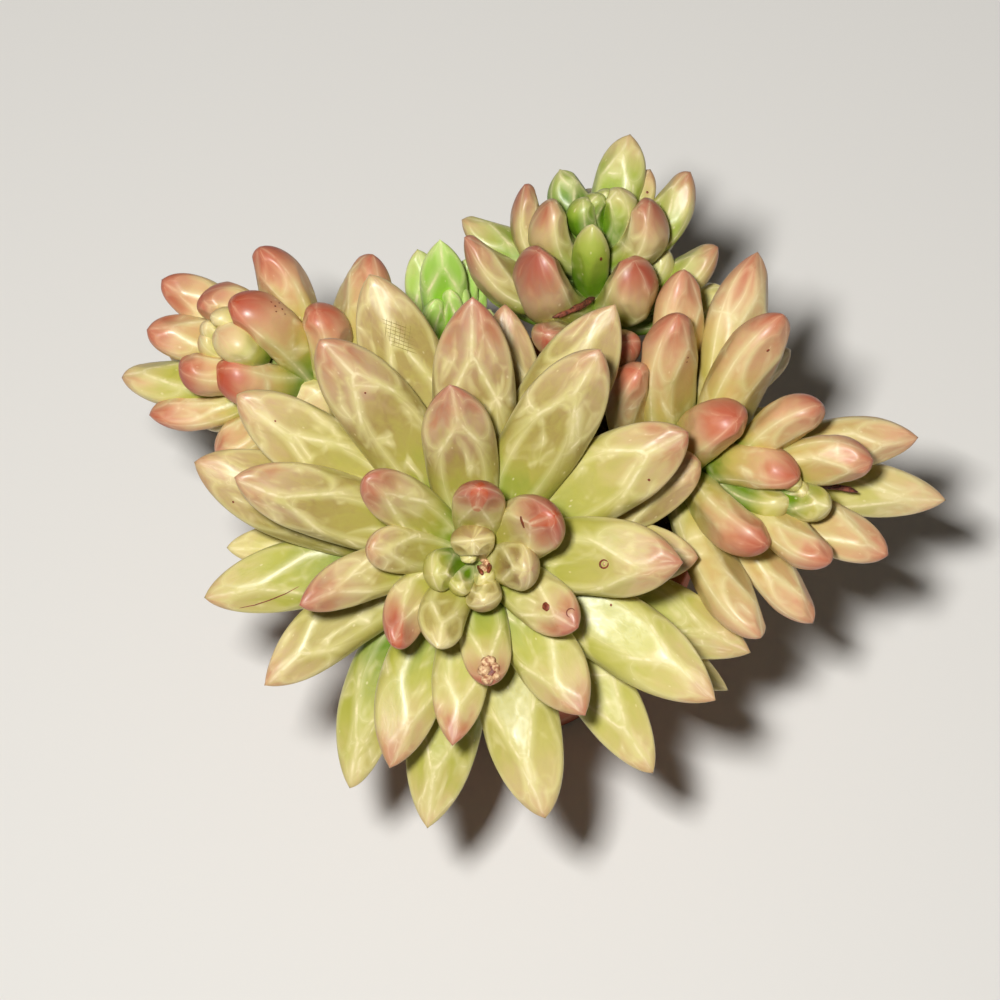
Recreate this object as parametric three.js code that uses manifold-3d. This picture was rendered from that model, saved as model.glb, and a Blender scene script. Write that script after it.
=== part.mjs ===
// A potted icarus echeveria: four rosettes of plump pointed leaves and a small green shoot, each on its own
// stem, in a plain clay pot filled with soil. Millimetres, +Z up, origin at the middle of the pot's underside.
import * as THREE from 'three';
import { mergeVertices } from 'three/addons/utils/BufferGeometryUtils.js';
import Module from 'manifold-3d';

const wasm = await Module();
wasm.setup();

// Pot
const POT_HEIGHT = 70;
const POT_TOP_RADIUS = 39;
const POT_BASE_RADIUS = 29;
const POT_WALL = 3.5;
const POT_FLOOR = 5;
const RIM_HEIGHT = 13;
const RIM_PROUD = 2;
const POT_SIDES = 36;
const DRAIN_RADIUS = 3.5;
const DRAIN_CIRCLE = 14;
const DRAIN_COUNT = 3;

// Soil
const SOIL_BELOW_RIM = 6;
const SOIL_CROWN = 3;
const GAP = 0.3;

// Stems
const ROOT_DEPTH = 14;
const ROOT_PROUD = 3;
const STEM_SIDES = 10;
const STEM_STEPS = 7;
const STEM_SINK = 3;
const STEM_REACH = 0.45;
const TWIG_SIDES = 6;
const TWIG_STEPS = 5;

// Finishes
const LEAF_ROUGHNESS = 0.4;
const DRY_ROUGHNESS = 0.9;
const CLAY_ROUGHNESS = 0.85;

// The clump is laid out as it looks from a viewpoint in front and high above, by millimetres to the right, up
// and towards the viewer from a middle point, as seen at that middle point's distance.
const VIEW_RISE = THREE.MathUtils.degToRad(70);
const VIEW_DISTANCE = 950;
const VIEW_MIDDLE = new THREE.Vector3(-3, -15, 116);
const VIEW_RIGHT = new THREE.Vector3(1, 0, 0);
const VIEW_UP = new THREE.Vector3(0, Math.sin(VIEW_RISE), Math.cos(VIEW_RISE));
const VIEW_TOWARDS = new THREE.Vector3(0, -Math.cos(VIEW_RISE), Math.sin(VIEW_RISE));

// Leaf form, as shares of the leaf's length or width
const WIDEST_AT = { grown: 0.57, young: 0.64 };
const TIP_CURVE = { grown: 2.5, young: 2.8 };
const YOUNG_BLUNTNESS = 0.8;
const BOW = { grown: 0.05, young: 0.13 };
const UPPER_THICKNESS = { grown: 0.27, young: 0.48 };
const LOWER_THICKNESS = { grown: 0.37, young: 0.52 };
const YOUNG_LENGTH = 27;
const HEART_START = 2.5;
const WHORL_SPREAD = 0.9;
const ROOT_SINK = 0.7;
const LEAF_FACETS = [
  { minWidth: 11, sides: 8, stations: [0, 0.24, 0.5, 0.74, 0.91] },
  { minWidth: 8, sides: 6, stations: [0, 0.32, 0.66, 0.89] },
  { minWidth: 0, sides: 6, stations: [0, 0.45, 0.84] },
];

// Each rosette: root is where its stem enters the soil (x, y), heart and axis are in the viewer's directions
// (right, up, towards), leafy is the length of stem that carries leaves, stem is the stem's radius at the
// heart and at the foot, foot is a leaf's width at its foot as a share of its greatest width, blunt is how
// blunt its tips are, and plump is how thick its leaves are against those of the main rosette. A leaf is its
// tip's place (right, up, towards) and its width, from the heart outwards, and where it needs them its sideways
// bend and how much blunter it is than the others.
const ROSETTES = [
  {
    name: 'main_rosette', color: 0xbfb56a, root: [0, -5], heart: [-5, -13, 4], axis: [0, -0.14, 0.99],
    leafy: 23, stem: [1.5, 6], foot: 0.55, blunt: 1.2, plump: 1,
    leaves: [
      [-6, -11.5, 6, 4], [-8.5, -18, 7, 5], [-3, -16, 5, 4.5], [-5.5, -8, 9.5, 9], [-13.5, -15, 8.5, 8.5],
      [-3, -21, 7, 7.5], [6, -14, 11, 10, 0, 0.4], [-12.5, -29.5, 11, 10, -1.5], [-4, 2.5, 18, 10.8, 0, 0.5],
      [11, -3, 16, 13.5, 0, 0.5], [-21.5, -29, 6, 10, -3, 0.8], [-26.5, -9.5, 8, 10, 0, 0.8],
      [-27, 4.5, 12, 11, 0, 0.8], [15.5, -25.5, 5, 11.5, 0, 0.3], [-2, -37, 1, 10.5, 0, 0.7],
      [-40, -21, 4, 10.5, -2, 0.2], [-10, 23, 14, 15], [36.5, -12.5, 3, 16.5], [17, -43, -1, 14],
      [-9.5, -49, -3.5, 11.5], [20, 30, 12, 16.5, 0, 0.2], [-53, 4.5, 3, 14.5, 0, 0.2],
      [37.5, 13.5, 1, 16.5, 0, 0.3], [-36, 32, 7.5, 16, -1, 0.3], [-22, -53.5, -9.5, 14, -2],
      [-52.5, 21, 0, 15.5, 1, 0.3], [43, -40, -7, 16, 1], [-5.5, 40.5, 6, 17], [9, -63.5, -15.5, 16, 0, 0.2],
      [-26, 45, -3, 17, 0, 0.2], [-47, -37, -13, 13.5, -2.5], [23, 39, -3, 17], [-61, 7.5, -12, 17, 2, 0.2],
      [30.5, -54.5, -21.5, 13.5, 2, 0.2], [-14.5, -65.5, -26, 15.5], [-59, -19.5, -22, 14.5, -1, 0.2],
      [-30, -57.5, -27.5, 13.5, -5, 0.2], [50, -30.5, -29, 15, 0.5], [40, 7.5, -13, 15, -1.5, 0.8],
      [1, 39, -16, 13, -3.5, 0.2], [39.5, -11.5, -17, 13.5, 0, 0.3], [-54.5, -9.5, -29, 11, 0, 0.3],
      [45.5, -38, -35, 11],
    ],
  },
  {
    name: 'left_rosette', color: 0xc79f7a, root: [-21, 14], heart: [-53.5, 32.5, -23], axis: [-0.71, 0.38, 0.59],
    leafy: 23, stem: [1.2, 3.2], foot: 0.72, blunt: 1.8, plump: 1.35,
    leaves: [
      [-59.5, 35, -20.5, 4.5], [-57.5, 37, -18.5, 5], [-60, 32.5, -22, 6], [-56.5, 33.5, -17.5, 8.5, 0, -0.5],
      [-59.5, 41, -23, 10.5, -1.5], [-64, 26, -21.5, 9.5, 0, 0.2], [-70.5, 34, -27.5, 10, -1],
      [-67.5, 44, -31, 10, -1], [-75.5, 24.5, -38.5, 10.5, 1.5, -0.1], [-59, 15, -44, 8.5],
      [-66, 30, -57, 9.5], [-70, 17, -34.5, 10, 1, -0.2], [-64, 40, -62, 9.5], [-57, 42, -51, 9.5],
      [-56, 26, -19.5, 10.5, 0, 0.4], [-53.5, 39.5, -16, 12, 0, 0.3], [-48, 50.5, -23.5, 12],
      [-60, 22, -60, 9.5], [-36.5, 38, -20, 10.5, 0, 0.2], [-56.5, 8.5, -30.5, 12, -1.5, -0.2],
      [-39, 19.5, -29, 9], [-25.5, 49, -26.5, 13, 0, -0.2], [-42, 12, -46.5, 9.5],
    ],
  },
  {
    name: 'top_rosette', color: 0xa7ab62, root: [10, 25], heart: [20.3, 56, -23], axis: [0.052, 0.741, 0.669],
    leafy: 27, stem: [1.2, 3.6], foot: 0.7, blunt: 1.6, plump: 1.3,
    leaves: [
      [19.5, 61, -20, 5], [16.5, 60, -19, 6], [21.5, 62, -22.5, 6], [24, 62, -20, 7.5],
      [12, 66, -27.5, 9, 0, -0.6], [26, 73, -30.5, 10.5, 0, -0.3], [30, 66, -33, 7.5, 0, -0.2],
      [30, 59.5, -18, 10.5, -1.5], [10, 59.5, -17, 10, 2], [38, 65.5, -28, 10, -2], [5, 63, -24, 9.5, 4],
      [18, 62, -62, 10.5], [-7.5, 56, -31, 9.5], [27, 64, -60, 10.5], [-7, 52.5, -22.5, 11.5, 4, -0.2],
      [12, 62, -63.5, 9.5], [18.5, 55, -14, 8, 0, -0.2], [7.5, 49.5, -12, 14, 3, 0.2],
      [26.8, 47.5, -17, 12, -1.8, 0.1], [36, 60, -60, 9.5], [43.5, 50.5, -30, 10, -1], [33.5, 50, -30.5, 9],
      [9, 33, -11, 10, 0, 0.8], [25.5, 31.5, -17, 10.5, -2, 0.8], [45, 42, -40, 9.5], [-4, 46, -40, 9.5],
      [22, 60, -70, 9.5], [4, 54, -62.5, 9.5],
    ],
  },
  {
    name: 'right_rosette', color: 0xc39a6c, root: [27, 3], heart: [57.5, 2, -16.5], axis: [0.743, -0.185, 0.643],
    leafy: 35, stem: [1.2, 3.6], foot: 0.72, blunt: 1.6, plump: 1.35,
    leaves: [
      [61.5, 1.5, -15, 4], [60, 3, -14, 4.5], [66, -1.5, -14, 8, 0, -0.2], [74.5, 8, -14.5, 11, 0.5],
      [77.5, -11, -23, 11], [66, -12.5, -13, 10.5, 0, 0.1], [64, 19, -10, 11, 0, 0.4],
      [83.5, 12.5, -28, 11.5, 1, -0.3], [57.5, -1, -16, 7.5], [51.5, 49.5, -29, 14.5, 0, -0.3],
      [59.5, 4.5, -12, 10], [62.5, -24.5, -30, 10.5], [56.5, 37, -10, 14], [89, 0, -37, 12, 0, -0.3],
      [53, -9, -12, 12, 0, 0.3], [74, 4, -52, 10], [47.5, 16.5, -8, 13, 0, 0.5], [66, -9, -48, 10],
      [52, -27.5, -18, 12.5, 0, 0.1], [35.5, 37, -11, 13.5], [62, 16, -50, 10.5], [52, -15, -42, 10],
      [59, -17, -42.5, 9.5], [36.8, 46, -20, 13, -2.7, -0.1], [27.5, 26, -12, 11, 2, 0.6], [58, 30, -50, 11],
      [48, 40, -50, 11],
    ],
  },
  {
    name: 'green_shoot', color: 0x8fb548, root: [-8, 27], heart: [-11, 33, -38], axis: [-0.067, 0.763, 0.643],
    leafy: 14, stem: [1, 3], foot: 0.6, blunt: 1.4, plump: 1,
    leaves: [
      [-10, 42, -34, 5], [-8.5, 44, -36, 6], [-13, 40, -34, 6], [-12, 52, -30, 10, 0, -0.3], [-7, 48, -40, 7],
      [-16.5, 50, -41, 9], [-5.5, 47.5, -44, 8.5], [-20, 38, -44, 8.5], [-2, 38, -44, 8.5],
      [-14, 48, -60, 8.5], [-7, 46, -60, 8.5],
    ],
  },
];

// The dry stubs of old flower stalks, each in a socket in the rosette that it grew from.
const TWIGS = [
  {
    name: 'dry_twig_top', grownFrom: 'top_rosette', radius: 0.8,
    route: [[19.5, 41.5, -33], [16.5, 39, -22], [10.5, 36.5, -17.5]],
  },
  {
    name: 'dry_twig_right', grownFrom: 'right_rosette', radius: 0.9,
    route: [[52, 4.5, -22.5], [63, 4.5, -27.5], [71.5, 2.5, -30.5]],
  },
];

function finish(color, roughness) {
  return new THREE.MeshStandardMaterial({ color, roughness, metalness: 0 });
}

function toSolid(geometry) {
  const plain = geometry.clone();
  plain.deleteAttribute('normal');
  plain.deleteAttribute('uv');
  const merged = mergeVertices(plain);
  return new wasm.Manifold(new wasm.Mesh({
    numProp: 3,
    vertProperties: new Float32Array(merged.attributes.position.array),
    triVerts: new Uint32Array(merged.index.array),
  }));
}

function toGeometry(solid) {
  const data = solid.getMesh();
  const geometry = new THREE.BufferGeometry();
  geometry.setAttribute('position', new THREE.BufferAttribute(data.vertProperties, 3));
  geometry.setIndex(new THREE.BufferAttribute(data.triVerts, 1));
  geometry.computeVertexNormals();
  return geometry;
}

// The largest shell of a joined solid, so that a pocket sealed between leaf roots is filled.
function outerBody(solid) {
  return solid.decompose().reduce((best, piece) => (piece.volume() > best.volume() ? piece : best));
}

// A point given as seen from the viewpoint.
function seen([right, up, towards]) {
  const nearness = (VIEW_DISTANCE - towards) / VIEW_DISTANCE;
  return VIEW_MIDDLE.clone()
    .addScaledVector(VIEW_RIGHT, right * nearness)
    .addScaledVector(VIEW_UP, up * nearness)
    .addScaledVector(VIEW_TOWARDS, towards);
}

// A direction given in the viewer's directions.
function aimed([right, up, towards]) {
  return new THREE.Vector3()
    .addScaledVector(VIEW_RIGHT, right)
    .addScaledVector(VIEW_UP, up)
    .addScaledVector(VIEW_TOWARDS, towards)
    .normalize();
}

// A closed surface through rings of points, with a fan over the first ring and a point after the last.
function lofted(rings, start, end) {
  const sides = rings[0].length;
  const points = [...rings.flat(), start, end];
  const startIndex = points.length - 2;
  const endIndex = points.length - 1;
  const last = (rings.length - 1) * sides;
  const triangles = [];
  for (let side = 0; side < sides; side++) {
    const next = (side + 1) % sides;
    triangles.push(startIndex, next, side, endIndex, last + side, last + next);
    for (let ring = 0; ring < last; ring += sides) {
      triangles.push(ring + side, ring + next, ring + sides + next);
      triangles.push(ring + side, ring + sides + next, ring + sides + side);
    }
  }
  const geometry = new THREE.BufferGeometry();
  geometry.setAttribute('position', new THREE.Float32BufferAttribute(points.flatMap((p) => p.toArray()), 3));
  geometry.setIndex(triangles);
  return geometry;
}

// A size that changes from its full-grown to its young value, by how young the leaf is.
function aged(size, youth) {
  return THREE.MathUtils.lerp(size.grown, size.young, youth);
}

// Width of a leaf along its length, as a share of its greatest width: a narrow foot, a broad middle and a
// point that is blunter on a young leaf.
function leafBreadth(along, youth, foot, blunt) {
  const widest = aged(WIDEST_AT, youth);
  if (along < widest) {
    return foot + (1 - foot) * Math.sin((Math.PI / 2) * (along / widest));
  }
  const past = (along - widest) / (1 - widest);
  return (1 - past ** aged(TIP_CURVE, youth)) ** (1 / (blunt + YOUNG_BLUNTNESS * youth));
}

// A plump leaf: flatter above than below, its middle bowed away from the stem's axis, and bent sideways by
// sway, to its left as the viewer sees it.
function leafGeometry(base, tip, axis, { width, sway, foot, blunt, plump }) {
  const length = base.distanceTo(tip);
  const forward = tip.clone().sub(base).normalize();
  const up = axis.clone().addScaledVector(forward, -axis.dot(forward)).normalize();
  const side = up.clone().cross(forward);
  const swayed = VIEW_TOWARDS.clone().cross(forward).normalize();
  const youth = Math.max(0, 1 - length / YOUNG_LENGTH);
  const upper = width * plump * aged(UPPER_THICKNESS, youth);
  const lower = width * plump * aged(LOWER_THICKNESS, youth);
  const bow = length * aged(BOW, youth);
  const { sides, stations } = LEAF_FACETS.find(({ minWidth }) => width >= minWidth);
  const rings = stations.map((along) => {
    const breadth = leafBreadth(along, youth, foot, blunt);
    const arch = Math.sin(Math.PI * along);
    const centre = base.clone()
      .addScaledVector(forward, length * along)
      .addScaledVector(up, -bow * arch)
      .addScaledVector(swayed, sway * arch);
    return Array.from({ length: sides }, (_, corner) => {
      const angle = (2 * Math.PI * corner) / sides;
      const rise = Math.sin(angle) * (Math.sin(angle) > 0 ? upper : lower);
      return centre.clone()
        .addScaledVector(side, (width / 2) * breadth * Math.cos(angle))
        .addScaledVector(up, rise * breadth);
    });
  });
  return lofted(rings, base, tip);
}

// A leaf's base: a step lower on the stem for each leaf further out, and on the stem's side below its tip.
function leafBase(rosette, heart, axis, tip, order) {
  const share = (order + 1) / rosette.leaves.length;
  const foot = heart.clone().addScaledVector(axis, -(HEART_START + rosette.leafy * share ** WHORL_SPREAD));
  const out = tip.clone().sub(foot);
  out.addScaledVector(axis, -out.dot(axis)).normalize();
  const [inner, outer] = rosette.stem;
  return foot.addScaledVector(out, ROOT_SINK * THREE.MathUtils.lerp(inner, outer, share));
}

// A stem: a root held in the soil, a bend up to the leaves, and the tapering length that carries them.
function stemSolid(rosette, heart, axis) {
  const [inner, outer] = rosette.stem;
  const soilTop = POT_HEIGHT - SOIL_BELOW_RIM;
  const root = new THREE.CylinderGeometry(outer, outer, ROOT_DEPTH + ROOT_PROUD, STEM_SIDES);
  root.rotateX(Math.PI / 2);
  root.translate(rosette.root[0], rosette.root[1], soilTop + (ROOT_PROUD - ROOT_DEPTH) / 2);
  const start = new THREE.Vector3(rosette.root[0], rosette.root[1], soilTop);
  const end = heart.clone().addScaledVector(axis, -rosette.leafy);
  const reach = start.distanceTo(end) * STEM_REACH;
  const bend = new THREE.CubicBezierCurve3(
    start,
    start.clone().setZ(soilTop + reach),
    end.clone().addScaledVector(axis, -reach),
    end.clone().addScaledVector(axis, STEM_SINK),
  );
  const section = new THREE.Shape(
    new THREE.EllipseCurve(0, 0, outer, outer).getPoints(STEM_SIDES).slice(0, STEM_SIDES),
  );
  const tube = new THREE.ExtrudeGeometry(section, { extrudePath: bend, steps: STEM_STEPS });
  const taper = new THREE.CylinderGeometry(inner, outer, rosette.leafy, STEM_SIDES);
  taper.applyQuaternion(new THREE.Quaternion().setFromUnitVectors(new THREE.Vector3(0, 1, 0), axis));
  const taperMiddle = heart.clone().addScaledVector(axis, -(HEART_START + rosette.leafy / 2));
  taper.translate(taperMiddle.x, taperMiddle.y, taperMiddle.z);
  return toSolid(root).add(toSolid(tube)).add(toSolid(taper));
}

function rosetteMesh(rosette) {
  const heart = seen(rosette.heart);
  const axis = aimed(rosette.axis);
  const leaves = rosette.leaves.map(([right, up, towards, width, sway = 0, blunter = 0], order) => {
    const tip = seen([right, up, towards]);
    const { foot, plump } = rosette;
    const form = { width, sway, foot, blunt: rosette.blunt + blunter, plump };
    return toSolid(leafGeometry(leafBase(rosette, heart, axis, tip, order), tip, axis, form));
  });
  let body = wasm.Manifold.union([stemSolid(rosette, heart, axis), ...leaves]);
  for (const twig of TWIGS.filter(({ grownFrom }) => grownFrom === rosette.name)) {
    body = body.subtract(twigSolid(twig, GAP));
  }
  const mesh = new THREE.Mesh(toGeometry(outerBody(body)), finish(rosette.color, LEAF_ROUGHNESS));
  mesh.name = rosette.name;
  return mesh;
}

// A dry flower stalk's stub, or with some room around it the socket that it stands in.
function twigSolid({ route, radius }, room) {
  const points = route.map(seen);
  const [root, next] = points;
  points[0] = root.clone().addScaledVector(next.clone().sub(root).normalize(), -room);
  const section = new THREE.Shape(
    new THREE.EllipseCurve(0, 0, radius + room, radius + room).getPoints(TWIG_SIDES).slice(0, TWIG_SIDES),
  );
  const curve = new THREE.CatmullRomCurve3(points);
  return toSolid(new THREE.ExtrudeGeometry(section, { extrudePath: curve, steps: TWIG_STEPS }));
}

function twigMesh(twig) {
  const mesh = new THREE.Mesh(toGeometry(twigSolid(twig, 0)), finish(0x6b3a26, DRY_ROUGHNESS));
  mesh.name = twig.name;
  return mesh;
}

function potMesh() {
  const wallRadius = POT_TOP_RADIUS - RIM_PROUD;
  const rimFoot = POT_HEIGHT - RIM_HEIGHT;
  const profile = [
    [0, 0], [POT_BASE_RADIUS - 1, 0], [POT_BASE_RADIUS, 1], [wallRadius, rimFoot], [POT_TOP_RADIUS, rimFoot + 1],
    [POT_TOP_RADIUS, POT_HEIGHT - 1], [POT_TOP_RADIUS - 1, POT_HEIGHT], [POT_TOP_RADIUS - POT_WALL, POT_HEIGHT],
    [wallRadius - POT_WALL, rimFoot], [POT_BASE_RADIUS - POT_WALL, POT_FLOOR], [0, POT_FLOOR],
  ].map(([radius, z]) => new THREE.Vector2(radius, z));
  const shell = new THREE.LatheGeometry(profile, POT_SIDES);
  shell.rotateX(Math.PI / 2);
  let body = toSolid(shell);
  for (let hole = 0; hole < DRAIN_COUNT; hole++) {
    const angle = (2 * Math.PI * hole) / DRAIN_COUNT + Math.PI / 2;
    const drain = new THREE.CylinderGeometry(DRAIN_RADIUS, DRAIN_RADIUS, 3 * POT_FLOOR, 16);
    drain.rotateX(Math.PI / 2);
    drain.translate(DRAIN_CIRCLE * Math.cos(angle), DRAIN_CIRCLE * Math.sin(angle), POT_FLOOR / 2);
    body = body.subtract(toSolid(drain));
  }
  const mesh = new THREE.Mesh(toGeometry(body), finish(0xb5694a, CLAY_ROUGHNESS));
  mesh.name = 'pot';
  return mesh;
}

// The soil fills the pot to just under its rim, with a plain hole for each stem.
function soilMesh() {
  const wallRadius = POT_TOP_RADIUS - RIM_PROUD - POT_WALL;
  const rimFoot = POT_HEIGHT - RIM_HEIGHT;
  const soilTop = POT_HEIGHT - SOIL_BELOW_RIM;
  const profile = [
    [0, POT_FLOOR + GAP], [POT_BASE_RADIUS - POT_WALL - GAP, POT_FLOOR + GAP], [wallRadius - GAP, rimFoot],
    [wallRadius - GAP, soilTop - SOIL_CROWN], [0, soilTop],
  ].map(([radius, z]) => new THREE.Vector2(radius, z));
  const fill = new THREE.LatheGeometry(profile, POT_SIDES);
  fill.rotateX(Math.PI / 2);
  let body = toSolid(fill);
  for (const { root, stem } of ROSETTES) {
    const radius = stem[1] + GAP;
    const hole = new THREE.CylinderGeometry(radius, radius, 2 * (ROOT_DEPTH + GAP), STEM_SIDES);
    hole.rotateX(Math.PI / 2);
    hole.translate(root[0], root[1], soilTop);
    body = body.subtract(toSolid(hole));
  }
  const mesh = new THREE.Mesh(toGeometry(body), finish(0x4a3b2e, DRY_ROUGHNESS));
  mesh.name = 'soil';
  return mesh;
}

const group = new THREE.Group();
group.add(potMesh(), soilMesh(), ...ROSETTES.map(rosetteMesh), ...TWIGS.map(twigMesh));

export default group;
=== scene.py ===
"""A potted echeveria: a clump of plump, waxy, pink-tipped leaf rosettes in a plain clay pot.

Every rosette, stem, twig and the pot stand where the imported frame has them. Sizes are millimetres in the
classes below, and become metres where a mesh is made.
"""

import logging
import math
from dataclasses import dataclass, field
from enum import Enum
from typing import NamedTuple

import bmesh
import bpy
import numpy as np
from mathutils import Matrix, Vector, noise
from mathutils.bvhtree import BVHTree

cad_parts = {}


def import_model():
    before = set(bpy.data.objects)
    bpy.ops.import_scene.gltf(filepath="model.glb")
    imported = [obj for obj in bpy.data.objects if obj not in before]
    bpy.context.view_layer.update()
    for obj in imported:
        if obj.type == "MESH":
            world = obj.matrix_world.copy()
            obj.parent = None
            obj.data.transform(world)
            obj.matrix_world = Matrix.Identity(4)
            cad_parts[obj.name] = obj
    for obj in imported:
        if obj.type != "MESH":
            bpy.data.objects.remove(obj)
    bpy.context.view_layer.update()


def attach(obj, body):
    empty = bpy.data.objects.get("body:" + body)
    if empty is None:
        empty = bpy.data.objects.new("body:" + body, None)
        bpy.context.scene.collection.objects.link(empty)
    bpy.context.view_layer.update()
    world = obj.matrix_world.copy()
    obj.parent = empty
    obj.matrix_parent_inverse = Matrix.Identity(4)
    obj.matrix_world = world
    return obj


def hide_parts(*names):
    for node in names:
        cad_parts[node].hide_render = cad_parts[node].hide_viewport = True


logging.basicConfig(level=logging.INFO, format="%(message)s")
log = logging.getLogger("echeveria")

MM = 0.001
BODY = "root"

Point = tuple[float, float, float]
Range = tuple[float, float]
Tree = bpy.types.NodeTree
Socket = bpy.types.NodeSocket
Value = Socket | float | tuple[float, ...]

LEAF_VALUES = ("along", "ripe", "blush", "fork", "crest", "nose", "shoulder", "edge", "under")


class Slot(Enum):
    """The record's names for the finishes of the object."""

    CLAY = "pot_clay"
    SOIL = "gritty_soil"
    MAIN = "main_leaf"
    LEFT = "left_leaf"
    TOP = "top_leaf"
    RIGHT = "right_leaf"
    SHOOT = "shoot_leaf"
    DRY = "dry_stalk"


def linear(colour: str) -> tuple[float, float, float, float]:
    """Turns an sRGB colour into the linear values that a shader takes.

    Args:
        colour: The colour as a hex string, such as "#B5694A".

    Returns:
        Red, green and blue from 0 to 1, and an alpha of 1.
    """
    parts = [int(colour[i:i + 2], 16) / 255 for i in (1, 3, 5)]
    red, green, blue = (p / 12.92 if p <= 0.04045 else ((p + 0.055) / 1.055) ** 2.4 for p in parts)
    return red, green, blue, 1.0


def per(spacing: float) -> float:
    """The scale of a pattern that repeats about every so many millimetres."""
    return 1 / (spacing * MM)


def add_node(tree: Tree, kind: str, inputs: dict[str | int, Value] | None = None,
             stops: tuple[tuple[float, str], ...] = (), **settings: object) -> bpy.types.Node:
    """Adds a node to a tree, with its settings, values and links.

    Args:
        tree: The node tree that gets the node.
        kind: The node's type, such as "ShaderNodeTexNoise".
        inputs: A value, or the output to link, for each input by its name or number.
        stops: Place and colour of each stop of a colour ramp.
        settings: The node's own settings by name.

    Returns:
        The new node.
    """
    node = tree.nodes.new(kind)
    for name, value in settings.items():
        setattr(node, name, value)
    for key, value in (inputs or {}).items():
        if isinstance(value, Socket):
            tree.links.new(value, node.inputs[key])
        else:
            node.inputs[key].default_value = value
    if stops:
        ramp = node.color_ramp
        while len(ramp.elements) < len(stops):
            ramp.elements.new(1.0)
        for element, (place, colour) in zip(ramp.elements, stops):
            element.position = place
            element.color = linear(colour)
    return node


def mixed(tree: Tree, share: Value, first: Value, second: Value) -> Socket:
    """Mixes two colours; the share says how much of the second there is."""
    return add_node(tree, "ShaderNodeMix", {0: share, 6: first, 7: second}, data_type="RGBA").outputs[2]


def sum_of(tree: Tree, operation: str, first: Value, second: Value = 0.0, third: Value = 0.0,
           clamp: bool = False) -> Socket:
    """Works out one sum in a tree.

    Args:
        tree: The node tree.
        operation: The sum, such as "ADD" or "MULTIPLY".
        first: The first number.
        second: The second number.
        third: What "MULTIPLY_ADD" adds to the product of the other two.
        clamp: Whether the result is kept from 0 to 1.

    Returns:
        The result.
    """
    inputs = {0: first, 1: second, 2: third}
    return add_node(tree, "ShaderNodeMath", inputs, operation=operation, use_clamp=clamp).outputs[0]


def ranged(tree: Tree, value: Value, low: float, high: float, start: float = 0.0, end: float = 1.0,
           curve: str = "LINEAR") -> Socket:
    """Turns a range of a number into another range, and stays at its ends beyond them.

    Args:
        tree: The node tree.
        value: The number.
        low: Where the range begins.
        high: Where it ends.
        start: The result up to there.
        end: The result from there on.
        curve: How the result runs between them.

    Returns:
        The result.
    """
    inputs = {"Value": value, "From Min": low, "From Max": high, "To Min": start, "To Max": end}
    return add_node(tree, "ShaderNodeMapRange", inputs, interpolation_type=curve).outputs[0]


def fading(tree: Tree, distance: Value, near: float, far: float) -> Socket:
    """A share that fades smoothly, from 1 at the near distance to 0 at the far one."""
    return ranged(tree, distance, near, far, 1.0, 0.0, "SMOOTHSTEP")


def noisy(tree: Tree, place: Socket, size: float, detail: float, roughness: float = 0.5,
          distortion: float = 0.0) -> Socket:
    """Adds cloudy variation.

    Args:
        tree: The node tree.
        place: The place in the pattern.
        size: How broad the clouds are, in millimetres.
        detail: How many times finer clouds lie over them.
        roughness: How strong the finer ones are.
        distortion: How far they are stirred.

    Returns:
        The variation, from 0 to 1.
    """
    inputs = {"Vector": place, "Scale": per(size), "Detail": detail, "Roughness": roughness,
              "Distortion": distortion}
    return add_node(tree, "ShaderNodeTexNoise", inputs).outputs["Fac"]


def cells(tree: Tree, place: Socket, size: float, feature: str = "F1") -> Socket:
    """The distance to the nearest cell's middle, or to its wall, in a pattern of cells of that size."""
    inputs = {"Vector": place, "Scale": per(size)}
    return add_node(tree, "ShaderNodeTexVoronoi", inputs, feature=feature).outputs["Distance"]


def ramp(tree: Tree, value: Socket, *stops: tuple[float, str]) -> Socket:
    """Colours a number by the stops of a colour ramp."""
    return add_node(tree, "ShaderNodeValToRGB", {"Fac": value}, stops).outputs[0]


def carried(tree: Tree, name: str, output: str = "Fac") -> Socket:
    """A value that the mesh carries at its points."""
    return add_node(tree, "ShaderNodeAttribute", attribute_name=name).outputs[output]


def own_place(tree: Tree) -> Socket:
    """The place in the object's own frame."""
    return add_node(tree, "ShaderNodeTexCoord").outputs["Object"]


def add_object(name: str, data: bpy.types.ID) -> bpy.types.Object:
    """Adds an object to the scene."""
    added = bpy.data.objects.new(name, data)
    bpy.context.scene.collection.objects.link(added)
    return added


def full_turn(sides: int) -> np.ndarray:
    """The angles of so many points round a ring."""
    return np.linspace(0, 2 * math.pi, sides, endpoint=False)


def level_ring(radius: float, height: float, turn: np.ndarray | list[float]) -> list[Point]:
    """Points of a level ring round the upright axis."""
    return [(radius * math.cos(angle), radius * math.sin(angle), height) for angle in turn]


def unit(vector: np.ndarray) -> np.ndarray:
    """The vector at a length of 1."""
    return vector / np.linalg.norm(vector)


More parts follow.
